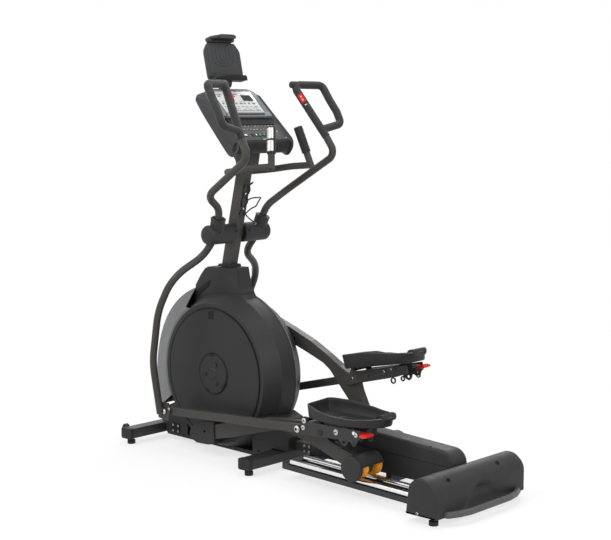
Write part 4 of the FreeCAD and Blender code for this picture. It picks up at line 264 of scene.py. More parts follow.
# ---- drawing helpers
JOINT = {joint["name"]: joint for joint in record["behaviour"]["joints"]}
CRANK = Vector(JOINT["crank_spin"]["pos_m"])
SWING = Vector(JOINT["left_swing"]["pos_m"])
BAR_ANGLE = {"left": 3.862, "right": 14.5}        # pedal arms above level, at rest
PEDAL_TILT = -3.0                                 # trays against their arms
LINK_ANGLE = {"left": 1.25, "right": -32.446}     # roller arms above level, at rest
SWING_TURN = {"left": 0.009, "right": 0.111}      # arms against the lean they are drawn in
FOOT = {"left": (-224.85, 196.16), "right": (-223.27, 195.71)}    # bolts of the arms' feet
SIDES = {"left": -1, "right": 1}


def frame_at(origin, angle=0.0):
    """Millimetre frame at a point, with its x raised by an angle in the XZ plane."""
    return (Matrix.Translation(origin) @ Matrix.Rotation(-radians(angle), 4, "Y") @
        Matrix.Scale(0.001, 4))


CRANK_HEIGHT = 397                                # of its axis over the floor, in millimetres
BASE = frame_at(Vector((CRANK.x, 0, 0)))          # millimetres, on the floor under the crank


def facing(here, place, normal, up=(0, 0, 1)):
    """A frame inside another: its z is a normal and its x lies along up."""
    z_dir = Vector(normal).normalized()
    y_dir = z_dir.cross(Vector(up)).normalized()
    x_dir = y_dir.cross(z_dir)
    turn = Matrix((x_dir, y_dir, z_dir)).transposed().to_4x4()
    return here @ Matrix.Translation(place) @ turn


class Sculpt:
    """One mesh piece under construction, in millimetres of whichever frame is given."""

    def __init__(self, name, body, slot, *materials):
        self.name, self.body, self.slot = name, body, slot
        self.materials = materials
        self.mesh = bmesh.new()

    def vert(self, here, point):
        return self.mesh.verts.new(here @ Vector(point))

    def face(self, corners, material=0):
        made = self.mesh.faces.new(corners)
        made.material_index = material
        return made

    def rings(self, rings, material=0, closed=False, caps=(True, True)):
        """Skin through rings of equal length; a ring of one vertex is a tip."""
        pairs = list(zip(rings, rings[1:]))
        if closed:
            pairs.append((rings[-1], rings[0]))
        for first, second in pairs:
            count = max(len(first), len(second))
            for index in range(count):
                after = (index + 1) % count
                if len(first) == 1:
                    self.face((first[0], second[after], second[index]), material)
                elif len(second) == 1:
                    self.face((first[index], first[after], second[0]), material)
                else:
                    self.face((first[index], first[after], second[after], second[index]), material)
        if not closed:
            if caps[0] and len(rings[0]) > 2:
                self.face(rings[0][::-1], material)
            if caps[1] and len(rings[-1]) > 2:
                self.face(rings[-1], material)

    def lathe(self, here, profile, steps=40, material=0, closed=False, shape=None):
        """Turns (radius, height) about the frame's z; shape(angle) bends the radius."""
        rings = []
        for radius, height in profile:
            if radius == 0:
                rings.append([self.vert(here, (0, 0, height))])
                continue
            ring = []
            for index in range(steps):
                angle = 2 * pi * index / steps
                reach = radius * (shape(angle) if shape else 1)
                ring.append(self.vert(here, (reach * cos(angle), reach * sin(angle), height)))
            rings.append(ring)
        self.rings(rings, material, closed)

    def prism(self, here, outline, low, high, material=0, bevel=0.0, segments=2, lean=0.0):
        """Outline in x, y, raised from low to high, with rounded edges or a smaller roof."""
        middle_x = sum(x for x, y in outline) / len(outline)
        middle_y = sum(y for x, y in outline) / len(outline)
        floor = [self.vert(here, (x, y, low)) for x, y in outline]
        roof = [self.vert(here, (x + (middle_x - x) * lean, y + (middle_y - y) * lean, high))
            for x, y in outline]
        faces = [self.face(floor[::-1], material), self.face(roof, material)]
        for index in range(len(outline)):
            after = (index + 1) % len(outline)
            faces.append(self.face((floor[index], floor[after], roof[after], roof[index]),
                material))
        if bevel:
            edges = {edge for face in faces for edge in face.edges}
            bmesh.ops.bevel(self.mesh, geom=list(edges), offset=bevel * 0.001, segments=segments,
                profile=0.6, affect="EDGES", clamp_overlap=True)

    def tube(self, here, points, radius, steps=14, material=0, flat=1.0):
        """A round bar along points, thinned one way by flat."""
        points = [Vector(point) for point in points]
        side = None
        rings = []
        for before, point, after in zip(points[:1] + points, points, points[1:] + points[-1:]):
            heading = (after - before).normalized()
            if side is None:
                side = heading.orthogonal().normalized()
            side = (side - heading * side.dot(heading)).normalized()
            other = heading.cross(side)
            rings.append([self.vert(here, point + side * (radius * cos(turn)) +
                other * (radius * flat * sin(turn)))
                for turn in (2 * pi * step / steps for step in range(steps))])
        self.rings(rings, material)

    def plate(self, here, corners, radius, low, high, material=0, bevel=0.0, segments=2, steps=5):
        """A prism whose outline is given by corners that are rounded."""
        self.prism(here, rounded(corners, radius, steps), low, high, material, bevel, segments)

    def done(self, smooth=32):
        """The finished object, riding on its body, with edges sharper than smooth kept sharp."""
        bmesh.ops.remove_doubles(self.mesh, verts=self.mesh.verts, dist=0.000001)
        bmesh.ops.recalc_face_normals(self.mesh, faces=self.mesh.faces)
        mesh = bpy.data.meshes.new(self.name)
        self.mesh.to_mesh(mesh)
        self.mesh.free()
        for material in self.materials:
            mesh.materials.append(MAT[material])
        for polygon in mesh.polygons:
            polygon.use_smooth = True
        mesh.set_sharp_from_angle(angle=radians(smooth))
        thing = bpy.data.objects.new(self.name, mesh)
        scene.collection.objects.link(thing)
        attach(thing, self.body)
        return thing


def smooth_line(points, steps=6):
    """Catmull-Rom points through the given ones."""
    points = [Vector(point) for point in points]
    line = []
    for a, b, c, d in zip(points[:1] + points, points, points[1:], points[2:] + points[-1:]):
        for step in range(steps):
            t = step / steps
            line.append(0.5 * ((2 * b) + (c - a) * t + (2 * a - 5 * b + 4 * c - d) * t ** 2 +
                (3 * b - a - 3 * c + d) * t ** 3))
    return line + [points[-1]]


def rounded(points, radius, steps=5):
    """A closed outline in x, y with its corners rounded."""
    count = len(points)
    line = []
    for index in range(count):
        size = radius[index] if isinstance(radius, (list, tuple)) else radius
        before = Vector(points[index - 1])
        corner = Vector(points[index])
        after = Vector(points[(index + 1) % count])
        back, ahead = before - corner, after - corner
        size = min(size, back.length * 0.49, ahead.length * 0.49)
        if size <= 0:
            line.append(tuple(corner))
            continue
        start, end = corner + back.normalized() * size, corner + ahead.normalized() * size
        for step in range(steps + 1):
            t = step / steps
            line.append(tuple(start * (1 - t) ** 2 + corner * 2 * t * (1 - t) + end * t ** 2))
    return line


def clamp(share):
    """The share, kept within 0 to 1."""
    return min(1.0, max(0.0, share))


def eased(share):
    """A share from 0 to 1, with soft ends."""
    share = clamp(share)
    return share * share * (3 - 2 * share)


def rect(left, right, low, high):
    return [(left, low), (right, low), (right, high), (left, high)]


def both_ways(rows):
    """Rows of (place across, ...) from one side to the other, given from one end inwards."""
    return [(-y, *more) for y, *more in rows] + rows[::-1]


def on_side(x, y, z, side):
    return Vector((x, y * side, z))


def hexagon(angle):
    """Share of a circle's radius at which a hexagon lies."""
    turn = (angle + pi / 6) % (pi / 3) - pi / 6
    return cos(pi / 6) / cos(turn)


def screw(target, here, radius, height, socket=None, material=0, hole=1):
    """Domed screw head with a socket."""
    socket = socket or radius * 0.5
    target.lathe(here, [(radius, 0), (radius, height * 0.35), (radius * 0.88, height * 0.8),
        (socket * 1.25, height)], 24, material)
    target.lathe(here, [(socket * 1.25, height), (socket, height - 0.2), (socket, height * 0.3),
        (0, height * 0.3)], 24, hole, shape=hexagon)


def recess(target, here, radius, material=0, dark=1):
    """A moulded screw hole: a thin raised rim round a dark bore."""
    target.lathe(here, [(radius + 1.6, -0.4), (radius + 1.4, 0.35), (radius, 0.45),
        (radius, -0.3)], 28, material, closed=True)
    # The bore is a flat disc of the dark material: painted shade standing in for the hole's depth
    # and the screw at its floor.
    target.lathe(here, [(radius, 0.1), (0, 0.1)], 28, dark)


def beside(here, y, side):
    """A frame whose x and y are the machine's x and z, and whose z points out to one side."""
    return here @ Matrix(((1, 0, 0, 0), (0, 0, side, y), (0, 1, 0, 0), (0, 0, 0, 1)))


def flipped(here):
    """The same frame with its z turned round."""
    return here @ Matrix.Diagonal((1, 1, -1, 1))


def at(here, x, y, z=0):
    return here @ Matrix.Translation((x, y, z))


def joint_frame(joint, angle):
    """Millimetre frame at a joint, moved to the middle of the machine."""
    place = JOINT[joint]["pos_m"]
    return frame_at(Vector((place[0], 0, place[2])), angle)


def between(table, t):
    """Smooth value at t from a table of (t, value)."""
    for (t0, v0), (t1, v1) in zip(table, table[1:]):
        if t <= t1:
            return v0 + (v1 - v0) * eased((t - t0) / (t1 - t0))
    return table[-1][1]


def inward(line, depth, index):
    """A point of a closed outline moved towards its inside."""
    count = len(line)
    before, after = Vector(line[index - 1]), Vector(line[(index + 1) % count])
    along = (after - before).normalized()
    return Vector(line[index]) + Vector((-along.y, along.x)) * depth


# ---- foot trays
INNER_WALL = [(0, 78), (0.3, 80), (0.55, 72), (0.8, 62), (1, 58)]
OUTER_WALL = [(0, 72), (0.12, 70), (0.3, 56), (0.45, 48), (0.7, 46), (0.88, 52), (1, 58)]
TRAY_PLAN = [(-8, 69), (14, 57), (102, 55), (292, 57), (374, 70), (404, 104), (404, 176),
    (352, 228), (272, 254), (152, 262), (52, 248), (-8, 220)]


def tray_height(x, across):
    """Height of the rim over the sole, from the inner wall's to the outer wall's."""
    along, outward = clamp((x + 8) / 412), eased((across - 75) / 160)
    return between(INNER_WALL, along) * (1 - outward) + between(OUTER_WALL, along) * outward


def make_tray(word, side):
    """Moulded foot tray: high toe and inner walls, a low outer wall and a curled heel lip."""
    tray = Sculpt(f"{word}_foot_tray", f"{word}_pedal", "black_plastic", "tray", "edge_light",
        "black")
    here = joint_frame(f"{word}_pedal_tilt", BAR_ANGLE[word] + PEDAL_TILT)
    plan = rounded(TRAY_PLAN, [16, 20, 60, 60, 30, 34, 34, 40, 44, 60, 50, 26], 6)
    floor, below = 20, 12
    # Each step: inset, share of the rim height, shift, and 1 where the painted rim highlight lies.
    steps = [(14, 0, below, 0), (8, 0, below + 1.2, 0), (5, 0, floor, 0), (1.5, 0.8, 0, 0),
        (0, 1, -3, 0), (0, 1, -1.2, 1), (1.2, 1, 0, 1), (3.4, 1, 0.3, 1), (5, 1, -1.5, 0),
        (6.5, 0.8, 0, 0), (10, 0, floor + 5, 0), (14, 0, floor + 1.4, 0), (20, 0, floor, 0)]
    rings = []
    for depth, share, shift, _ in steps:
        ring = []
        for index, (x, across) in enumerate(plan):
            height = tray_height(x, across)
            z = height * share + shift if share else shift
            heel = max(0.0, (x - 330) / 74) * (1 if share == 1 else 0)
            point = inward(plan, depth - 7 * heel, index)
            ring.append(tray.vert(here, (point.x, point.y * side, z - 3 * heel * (depth < 3))))
        rings.append(ring)
    # The band along the rim's top takes a lighter grey: a painted highlight along the rim.
    for number, (first, second) in enumerate(zip(rings, rings[1:])):
        tray.rings([first, second], 1 if steps[number][3] and steps[number + 1][3] else 0,
            caps=(number == 0, number == len(rings) - 2))
    ridges = 11
    for row in range(ridges):
        across = 84 + row * 14
        spans = [(44 + abs(row - 5) * 5, 356 - abs(row - 5) * 7)]
        if 2 < row < 8:
            spans = [(spans[0][0], 128), (282, spans[0][1])]
        for start, end in spans:
            line = rounded(rect(start, end, across - 2.6, across + 2.6), 2.4, 3)
            tray.prism(here, [(x, y * side) for x, y in line], floor - 0.5, floor + 2.2,
                lean=0.004)
    for step in range(5):
        tip = 140 + step * 27
        for wing in (-1, 1):
            line = [(tip, 154), (tip + 9, 154), (tip + 31, 154 + wing * 30),
                (tip + 22, 154 + wing * 30)]
            tray.prism(here, [(x, y * side) for x, y in line], floor - 0.5, floor + 2.2)
    heel = rounded([(362, 44), (366, 62), (380, 70), (404, 70), (410, 58), (406, 42), (392, 34),
        (376, 36)], 6, 4)
    tray.prism(beside(here, 92 * side, side), heel, 0, 86, bevel=5, segments=3)
    for start in (126, 220):
        tray.plate(beside(here, start * side, side), [(-11, -5), (-5, -11), (5, -11), (11, -5),
            (18, 14), (-18, 14)], 3, 0, 8, bevel=0.8)
    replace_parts(tray.done(50), f"{word}_pedal")


def make_arm_fittings(word, side):
    """Bolts, plugs, hooks and the lever of one pedal arm, on its outer and inner faces."""
    here = joint_frame(f"{word}_pedal_arm_pivot", BAR_ANGLE[word])
    outer, inner = beside(here, 238 * side, side), flipped(beside(here, 124 * side, side))
    plates = Sculpt(f"{word}_arm_bolts", f"{word}_pedal_arm", "bright_steel", "bolt", "black")
    for face, u, n, radius, height, lift in ((outer, 0, 0, 12, 6, 5), (outer, 34, 9, 7, 4, 0),
            (outer, 46, 42, 8, 4, 4), (outer, 232, 8, 8.5, 5, 0), (outer, 350, 8, 6.5, 4, 3),
            (inner, 34, 4, 7, 4, 0), (inner, 232, 12, 8.5, 5, 0), (inner, 276, 17, 7, 4, 0)):
        spot = at(face, u, n, lift)
        plates.lathe(spot, [(radius + 4, 0), (radius + 4, 1.4), (radius, 1.6)], 28)
        screw(plates, at(spot, 0, 0, 1.4), radius, height)
    plates.done()
    skin = Sculpt(f"{word}_arm_plates", f"{word}_pedal_arm", "dark_frame", "dark_paint")
    outline = rounded([(-20, -19), (30, -23), (245, -21), (300, -20), (356, -14), (371, -8),
        (371, 25), (60, 30), (52, 50), (38, 50), (22, 22), (-14, 18)], 3, 3)
    skin.prism(outer, outline, -1, 0.8)
    skin.prism(inner, outline, -3.9, 0.2)
    for face in (outer, inner):
        for u, n, radius in ((276, -34, 16), (334, -32, 13)):
            skin.lathe(at(face, u, n, -5), [(radius, 0), (radius, 7), (radius - 5.5, 7),
                (radius - 5.5, 0)], 28, closed=True, shape=hexagon)
    skin.done()
    dark = Sculpt(f"{word}_arm_plugs", f"{word}_pedal_arm", "black_plastic", "black")
    for face, u, n, radius, height in ((outer, 138, -4, 17, 3.5), (outer, 88, -12, 4, 0.6),
            (outer, 198, -14, 4, 0.6), (outer, 262, 10, 3.5, 0.6), (inner, 138, 2, 13, 3.5),
            (inner, 88, -4, 4, 0.6), (inner, 190, 0, 4, 0.6)):
        dark.lathe(at(face, u, n), [(radius, 0), (radius, height * 0.5), (radius * 0.86, height),
            (radius * 0.5, height * 1.15), (0, height * 1.15)], 32)
    dark.done()
    light = Sculpt(f"{word}_lever_washer", f"{word}_pedal_arm", "plate_chrome", "white")
    light.lathe(at(outer, 336, 14), [(8, 0), (8, 2.4), (7, 3), (0, 3)], 28)
    light.done()
    lever = Sculpt(f"{word}_lever_tab", f"{word}_pedal_lever", "lever_red", "red")
    pull = joint_frame(f"{word}_pedal_lever_lift", BAR_ANGLE[word])
    lever.plate(beside(pull, 194 * side, side), [(30, -13), (60, -9), (61, 3), (30, 5), (18, 0),
        (18, -8)], 4, 0, 46, bevel=2.2, segments=3)
    for step in range(3):
        lever.plate(beside(pull, (199 + 12 * step) * side, side), [(40, 2), (58, 1), (58, 6),
            (40, 7)], 1.6, 0, 6, bevel=0.8)
    lever.done(40)


# ---- console and tablet holder
CONSOLE_PLACE, CONSOLE_SLOPE = Vector((CRANK.x + 0.228, 0, 1.520)), 136
HOLDER_PLACE, HOLDER_SLOPE = Vector((CRANK.x - 0.026, 0, 1.812)), 103
SLAB_HALF, SLAB_TOP = 180, 357                    # of the console's shell


def console_frame():
    """x up the face, y across, z out of it; the face's back lies at 0."""
    return flipped(frame_at(CONSOLE_PLACE, CONSOLE_SLOPE))


def slab_ring(target, here, outline, y, shrink, half=0.0, length=0.0):
    """Side view of a slab at one place across. Near its face a slab with half and length has a
    narrower top with rounded corners; at its back it is square."""
    ring = []
    for index in range(len(outline)):
        point = inward(outline, shrink, index)
        x, across = point.x, y
        if half:
            near = 1 - clamp((-point.y - 6) / 26)
            radius = 20 + 44 * near
            over = min(radius, max(0.0, abs(y) - half + radius))
            x = min(x, length - radius + sqrt(radius ** 2 - over ** 2))
            across = y * (1 - 0.085 * near * clamp((x - 40) / 280))
        ring.append(target.vert(here, (x, across, point.y)))
    return ring


def make_console_shell():
    """Pillowed back shell of the console with its neck."""
    here = console_frame()
    shell = Sculpt("console_shell", "frame", "console_dark", "shell")
    outline = rounded([(-16, -14), (-20, -52), (0, -64), (60, -62), (250, -50), (350, -36),
        (360, -20), (358, 3), (0, 3)], [16, 18, 26, 60, 60, 16, 14, 6, 14], 6)[::-1]
    rings = []
    for y, shrink in both_ways([(180, 17), (179, 12), (175, 7), (168, 3), (158, 0.8), (146, 0),
            (132, 0), (116, 0), (60, 0)]):
        rings.append(slab_ring(shell, here, outline, y, shrink, SLAB_HALF, SLAB_TOP))
    shell.rings(rings)
    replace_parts(shell.done(38), "console_back")
    for side in (-1, 1):
        groove = Sculpt(f"console_side_groove_{'left' if side < 0 else 'right'}", "frame",
            "console_dark", "gap")
        line = smooth_line([(-6, -30), (60, -30), (180, -26), (280, -20)])
        groove.tube(here, [(x, side * (179.4 - 15.3 * clamp((x - 40) / 280)), z) for x, z in line],
            1.1, 8)
        groove.done()
    neck = Sculpt("console_neck", "frame", "console_dark", "shell")
    sections = [((109, 1394), 40, 45, -13.2), ((112, 1425), 46, 48, -8), ((106, 1462), 60, 52, 4),
        ((92, 1506), 74, 62, 22), ((78, 1552), 80, 80, 38), ((66, 1592), 84, 96, 46)]
    rings = []
    for (x, z), length, width, tilt in sections:
        turn = radians(tilt)
        ring = []
        for index in range(48):
            angle = 2 * pi * index / 48
            cosine, sine = cos(angle), sin(angle)
            reach = (abs(cosine) ** 4 + abs(sine) ** 4) ** -0.25
            u, v = reach * cosine * length, reach * sine * width
            ring.append(neck.vert(BASE, (x + u * cos(turn), v, z + u * sin(turn))))
        rings.append(ring)
    neck.rings(rings)
    neck.done(50)


def make_console_panel():
    """Face of the console: display frame with its shelf, a near-black band under the shelf that is
    painted shadow, keys and chin.
    """
    here = console_frame()
    panel = Sculpt("console_panel", "frame", "console_light", "console_light", "gap", "console",
        "black")
    panel.plate(here, [(2, -178), (352, -166), (352, 166), (2, 178)], [10, 54, 54, 10], 0, 8, 2,
        bevel=2.5, segments=3, steps=8)
    panel.plate(here, [(150, -166), (344, -158), (344, 158), (150, 166)], [8, 46, 46, 8], 7.5, 13,
        0, bevel=2.4, segments=3, steps=8)
    panel.plate(here, rect(180, 331, -130, 130), 10, 12.6, 14.2, 2, bevel=0.8, steps=5)
    panel.plate(here, [(148, -146), (177, -138), (177, 138), (148, 146)], 5, 12, 25, 0, bevel=2.4,
        segments=3, steps=4)
    panel.plate(here, [(156, -74), (168, -76), (168, 104), (156, 102)], 4, 24.5, 26, 1, bevel=0.6)
    for y in (-70, -10, 50):
        panel.plate(here, rect(158, 165, y, y + 40), 2, 25.4, 27.4, 3, bevel=0.8)
    # Near-black band under the display's shelf: painted shadow.
    painted_shelf_shadow = rounded([(104, -152), (150, -156), (164, -168), (164, -150), (149, -134), (149, 134),
        (164, 150), (164, 168), (150, 156), (104, 134)], 4, 3)
    panel.prism(here, painted_shelf_shadow[::-1], 6, 13.4, 1)
    panel.plate(here, [(6, -168), (103, -166), (103, 166), (6, 168)], [10, 6, 6, 10], 7.5, 10.6, 2,
        bevel=1.6, segments=3, steps=6)
    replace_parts(panel.done(40), "console_face")
    window = Sculpt("display_glass", "frame", "screen", "screen", "print_dark", "gap")
    window.plate(here, rect(184, 327, -125, 125), 5, 13.8, 15.2, 0, bevel=0.6, steps=4)
    top = 15.2

    def mark(x, y, length, width, material=1):
        window.plate(here, rect(x, x + length, y, y + width), 0.8, top - 0.2, top + 0.35, material,
            steps=2)

    mark(262, 40, 40, 66, 2)
    for y, wide in ((-112, 34), (-66, 28), (-30, 56)):
        mark(304, y, 5, wide)
        mark(290, y, 9, wide * 0.6)
    for y in range(-112, 112, 28):
        for row, high in ((240, 10), (222, 4)):
            mark(row, y, high, 13 if (y // 28) % 3 else 19)
    for step in range(22):
        mark(192, -110 + step * 10, 5 + 8 * abs(sin(step * 0.7)), 5.6)
    for y in (-106, -48, 14, 70):
        mark(212, y, 3, 34)
        mark(258, y - 2, 2.4, 28)
    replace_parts(window.done(), "display")
    chin = Sculpt("console_chin", "frame", "console_dark", "black")
    outline = rounded([(6, 10.5), (-14, 6), (-30, -22), (-28, -50), (-6, -62), (14, -40), (14, 4)],
        [10, 16, 22, 16, 16, 10, 4], 6)
    rings = []
    for y, shrink in both_ways([(182, 15), (180, 9), (174, 4), (162, 1), (140, 0), (50, 0)]):
        rings.append(slab_ring(chin, here, outline, y, shrink))
    chin.rings(rings)
    chin.done(40)
    keys = Sculpt("console_keys", "frame", "console_dark", "black", "white", "green", "red")
    for row, x in enumerate((91, 69)):
        for step in range(11):
            y = -112 + step * 22
            keys.plate(here, rect(x, x + 9, y - 7, y + 7), 2.5, 10.2, 12.0, 0, bevel=0.6, steps=3)
            wide = 3 + (step * 7 + row * 3) % 4
            keys.prism(here, rect(x + 3.4, x + 5.4, y - wide, y + wide), 11.8, 12.3, 1)
    for y, length, material in ((-112, 22, 1), (-62, 14, 0), (-40, 14, 1), (-18, 20, 2),
            (8, 20, 2), (34, 22, 3)):
        keys.plate(here, rect(28, 48, y, y + length), 4, 10.2, 12.8, 0, bevel=1.0, steps=4)
        face = rect(33, 43, y + 3, y + length - 3)
        keys.plate(here, face, 2, 12.6, 13.3, material, steps=3)
    for x, y in ((56, 118), (14, 150), (56, -140)):
        keys.plate(here, rect(x, x + 5, y, y + 5), 2, 10.2, 11.4, 1, steps=3)
    keys.prism(here, rect(8, 11, -6, 34), 10.4, 11.2, 1)
    keys.done()


def make_tablet_holder():
    """Plate with shoulders and moulded rings, its black ledge, its stem and the clamp."""
    here = flipped(frame_at(HOLDER_PLACE, HOLDER_SLOPE))
    holder = Sculpt("tablet_rest_plate", "frame", "console_dark", "shell", "gap", "black")
    holder.plate(here, [(0, -104), (0, 104), (10, 115), (142, 116), (170, 96), (182, 86),
        (182, -86), (170, -96), (142, -116), (10, -115)], 14, -10, 0, bevel=2.4, segments=3,
        steps=5)
    for reach in (66, 44, 22):
        low = 68 + (66 - reach) * 0.55
        path = [(176, -reach), (low + 34, -reach), (low + 8, -reach * 0.72), (low, 0),
            (low + 8, reach * 0.72), (low + 34, reach), (176, reach)]
        line = [(p[0], p[1], 0.2) for p in smooth_line(path)]
        holder.tube(here, line, 0.7, 8, 1, flat=0.4)
    line = [(p[0], p[1], 0.2) for p in smooth_line([(150, -92), (70, -100), (34, -94), (30, 0),
        (34, 94), (70, 100), (150, 92)])]
    holder.tube(here, line, 0.7, 8, 1, flat=0.4)
    holder.plate(here, rect(-6, 1, -106, 106), 2, -9, 33, 2, bevel=1.4)
    holder.plate(here, [(-8, -106), (5, -105), (11, -60), (17, -20), (18, 60), (16, 104),
        (-8, 106)], 5, 28, 35, 1, bevel=2.2, segments=3)
    for y in (-104, 96):
        holder.plate(here, rect(-4, 20, y, y + 8), 2, -4, 30, 2, bevel=1.6)
    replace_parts(holder.done(40), "tablet_holder")
    stem = Sculpt("tablet_rest_stem", "frame", "console_dark", "shell")
    ring_a = [(-46, 1768), (-26, 1787), (-24, 1812), (-44, 1850), (-58, 1846), (-62, 1800)]
    stem.plate(beside(BASE, -34, 1), ring_a, 5, 0, 68, bevel=3, steps=3)
    stem.done(40)
    jaw = Sculpt("tablet_clamp_jaw", "tablet_clamp", "console_dark", "shell", "gap")
    jaw.plate(here, [(136, -60), (136, 60), (180, 76), (208, 82), (208, -82), (180, -76)], 8, -15,
        -10.4, bevel=1.2)
    jaw.plate(here, [(186, -80), (201, -86), (211, -74), (220, -26), (220, 60), (212, 82),
        (200, 86), (186, 80)], 7, -15, 9, bevel=3.5, segments=3, steps=4)
    jaw.plate(here, [(199, -26), (199, 78), (212, 82), (219, 64), (219, -24)], 6, 2, 30, bevel=4.0,
        segments=3, steps=4)
    jaw.plate(here, [(197, -72), (209, -70), (214, -30), (201, -26)], 5, 2, 22, bevel=3.0,
        segments=3, steps=3)
    # Near-black strip under the jaw's front lip: painted shadow.
    jaw.plate(here, [(188, -62), (200, -66), (200, 66), (188, 62)], 3, 8, 11, 1, bevel=1.0)
    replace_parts(jaw.done(40), "tablet_clamp")


# ---- swing arms
def make_arm_details(word, side):
    """Screw holes, washer and cap of the pivot, the sleeve's lip, and the bolts of the foot."""
    here = frame_at(SWING, SWING_TURN[word])
    black = Sculpt(f"{word}_hub_details", f"{word}_swing_arm", "black_plastic", "gap", "cover")
    for y in (44, 152):
        spot = facing(here, (46.4, y * side, 14), (0.96, 0, 0.28), (0, side, 0))
        recess(black, spot, 5.4, 1, 0)
    black.lathe(beside(here, 24.2 * side, side), rect(30, 38, 0, 4.6), 40, 0, closed=True)
    cap = beside(here, 196 * side, side)
    black.lathe(cap, [(33, -1), (36, 0.2), (30, 2.4), (18, 3.8), (0, 4.2)], 48, 1)
    black.done(30)
    heading = on_side(25, 10, 73, side).normalized()
    start = on_side(24, 145, 52, side)
    foot = start - heading * (start.dot(heading) - 6)
    rim = facing(here, foot + heading * 96, heading, (1, 0, 0))
    lip = Sculpt(f"{word}_sleeve_lip", f"{word}_swing_arm", "cover_plastic", "housing", "gap")
    lip.lathe(rim, [(34.2, -4), (36.4, -2.6), (36.6, 1.2), (34.8, 3.0), (25, 3.0), (22.5, 0.4),
        (22.5, -4)], 44, 0, closed=True)
    lip.lathe(rim, [(22.5, 0.6), (18.2, 0.6)], 36, 1)
    lip.done(30)
    bolts = Sculpt(f"{word}_foot_bolts", f"{word}_swing_arm", "bright_steel", "bolt", "gap")
    foot_x, foot_z = FOOT[word]
    spot = at(beside(BASE, 254 * side, side), foot_x, foot_z)
    bolts.lathe(spot, [(14, -0.4), (14, 1.2), (10, 1.6)], 32)
    screw(bolts, at(spot, 0, 0, 1.2), 9.5, 5)
    other = at(beside(BASE, 249 * side, side), foot_x + 33, foot_z + 16)
    bolts.lathe(other, [(7, -0.4), (7, 1.0), (5, 1.4)], 28)
    screw(bolts, at(other, 0, 0, 1.0), 5.5, 3.4)
    bolts.done()


def make_grip_details(word, side):
    """Print on the rocker, a grey mark and a stud under it."""
    here = frame_at(SWING, SWING_TURN[word])
    start, end = on_side(334.0, 280.7, 463.7, side), on_side(165, 226, 711, side)
    along = (end - start).normalized()
    out = Vector((1, -0.9 * side, 0))
    out = (out - along * out.dot(along)).normalized()
    centre = start + (end - start) * 0.72
    rock = Sculpt(f"{word}_rocker_print", f"{word}_grip_button", "lever_red", "white", "red")
    spot = facing(here, centre + out * 22, out, along)
    for turn in (-1, 1):
        rock.plate(spot, rect(turn * 9 - 6, turn * 9 + 6, -4.5, 4.5), 3, -0.2, 0.9, 1, bevel=0.4,
            steps=3)
        arrow = [(turn * 5.5, -2.6), (turn * 12.5, 0), (turn * 5.5, 2.6), (turn * 7, 0)]
        rock.prism(spot, arrow, 0.8, 1.2, 0)
    rock.done()
    rim = Sculpt(f"{word}_rocker_rim", f"{word}_swing_arm", "black_plastic", "black", "white",
        "red")
    frame_line = rounded(rect(-24, 24, -11.5, 11.5), 6, 4)
    hole = rounded(rect(-20, 20, -7.9, 7.9), 4, 4)
    ring_spot = facing(here, centre + out * 16.6, out, along)
    lower = [rim.vert(ring_spot, (x, y, 0)) for x, y in frame_line]
    upper = [rim.vert(ring_spot, (x * 0.985, y * 0.97, 3.6)) for x, y in frame_line]
    inner = [rim.vert(ring_spot, (x, y, 3.6)) for x, y in hole]
    deep = [rim.vert(ring_spot, (x, y, 0)) for x, y in hole]
    rim.rings([lower, upper, inner, deep], 2, closed=True)
    mark = facing(here, centre - along * 37 + out * 18.7, out, along)
    rim.plate(mark, rect(-2, 2, -6, 6), 1.6, -0.6, 0.6, 1, steps=3)
    stud = facing(here, centre - along * 56 + out * 18.4, out, along)
    rim.lathe(stud, [(4.6, -1), (4.6, 0.8), (3.4, 1.6), (0, 1.8)], 24)
    rim.done()
    corner = Sculpt(f"{word}_grip_corner", f"{word}_swing_arm", "grip_foam", "grip")
    level = (end - on_side(214, 379, 709, side)).normalized()
    spot = facing(here, end - level * 34, level)
    corner.lathe(spot, [(16.2, 0), (17.2, 14), (17.4, 38), (16.2, 44), (12.5, 49), (6, 51.5),
        (0, 52)], 32)
    corner.done(60)


# ---- handlebar
POST_FOOT = (407, 131, 1414)                      # where a post meets its bar
POST_HEADING = Vector((-47, -46, 190)).normalized()
POST_REACH = 190
SLEEVE_START = 62


def bent(points, radius, steps=6):
    """An open route with its corners rounded."""
    points = [Vector(point) for point in points]
    line = [points[0]]
    for before, corner, after in zip(points, points[1:], points[2:]):
        back, ahead = before - corner, after - corner
        size = min(radius, back.length * 0.49, ahead.length * 0.49)
        start, end = corner + back.normalized() * size, corner + ahead.normalized() * size
        for step in range(steps + 1):
            t = step / steps
            line.append(start * (1 - t) ** 2 + corner * 2 * t * (1 - t) + end * t ** 2)
    return line + [points[-1]]


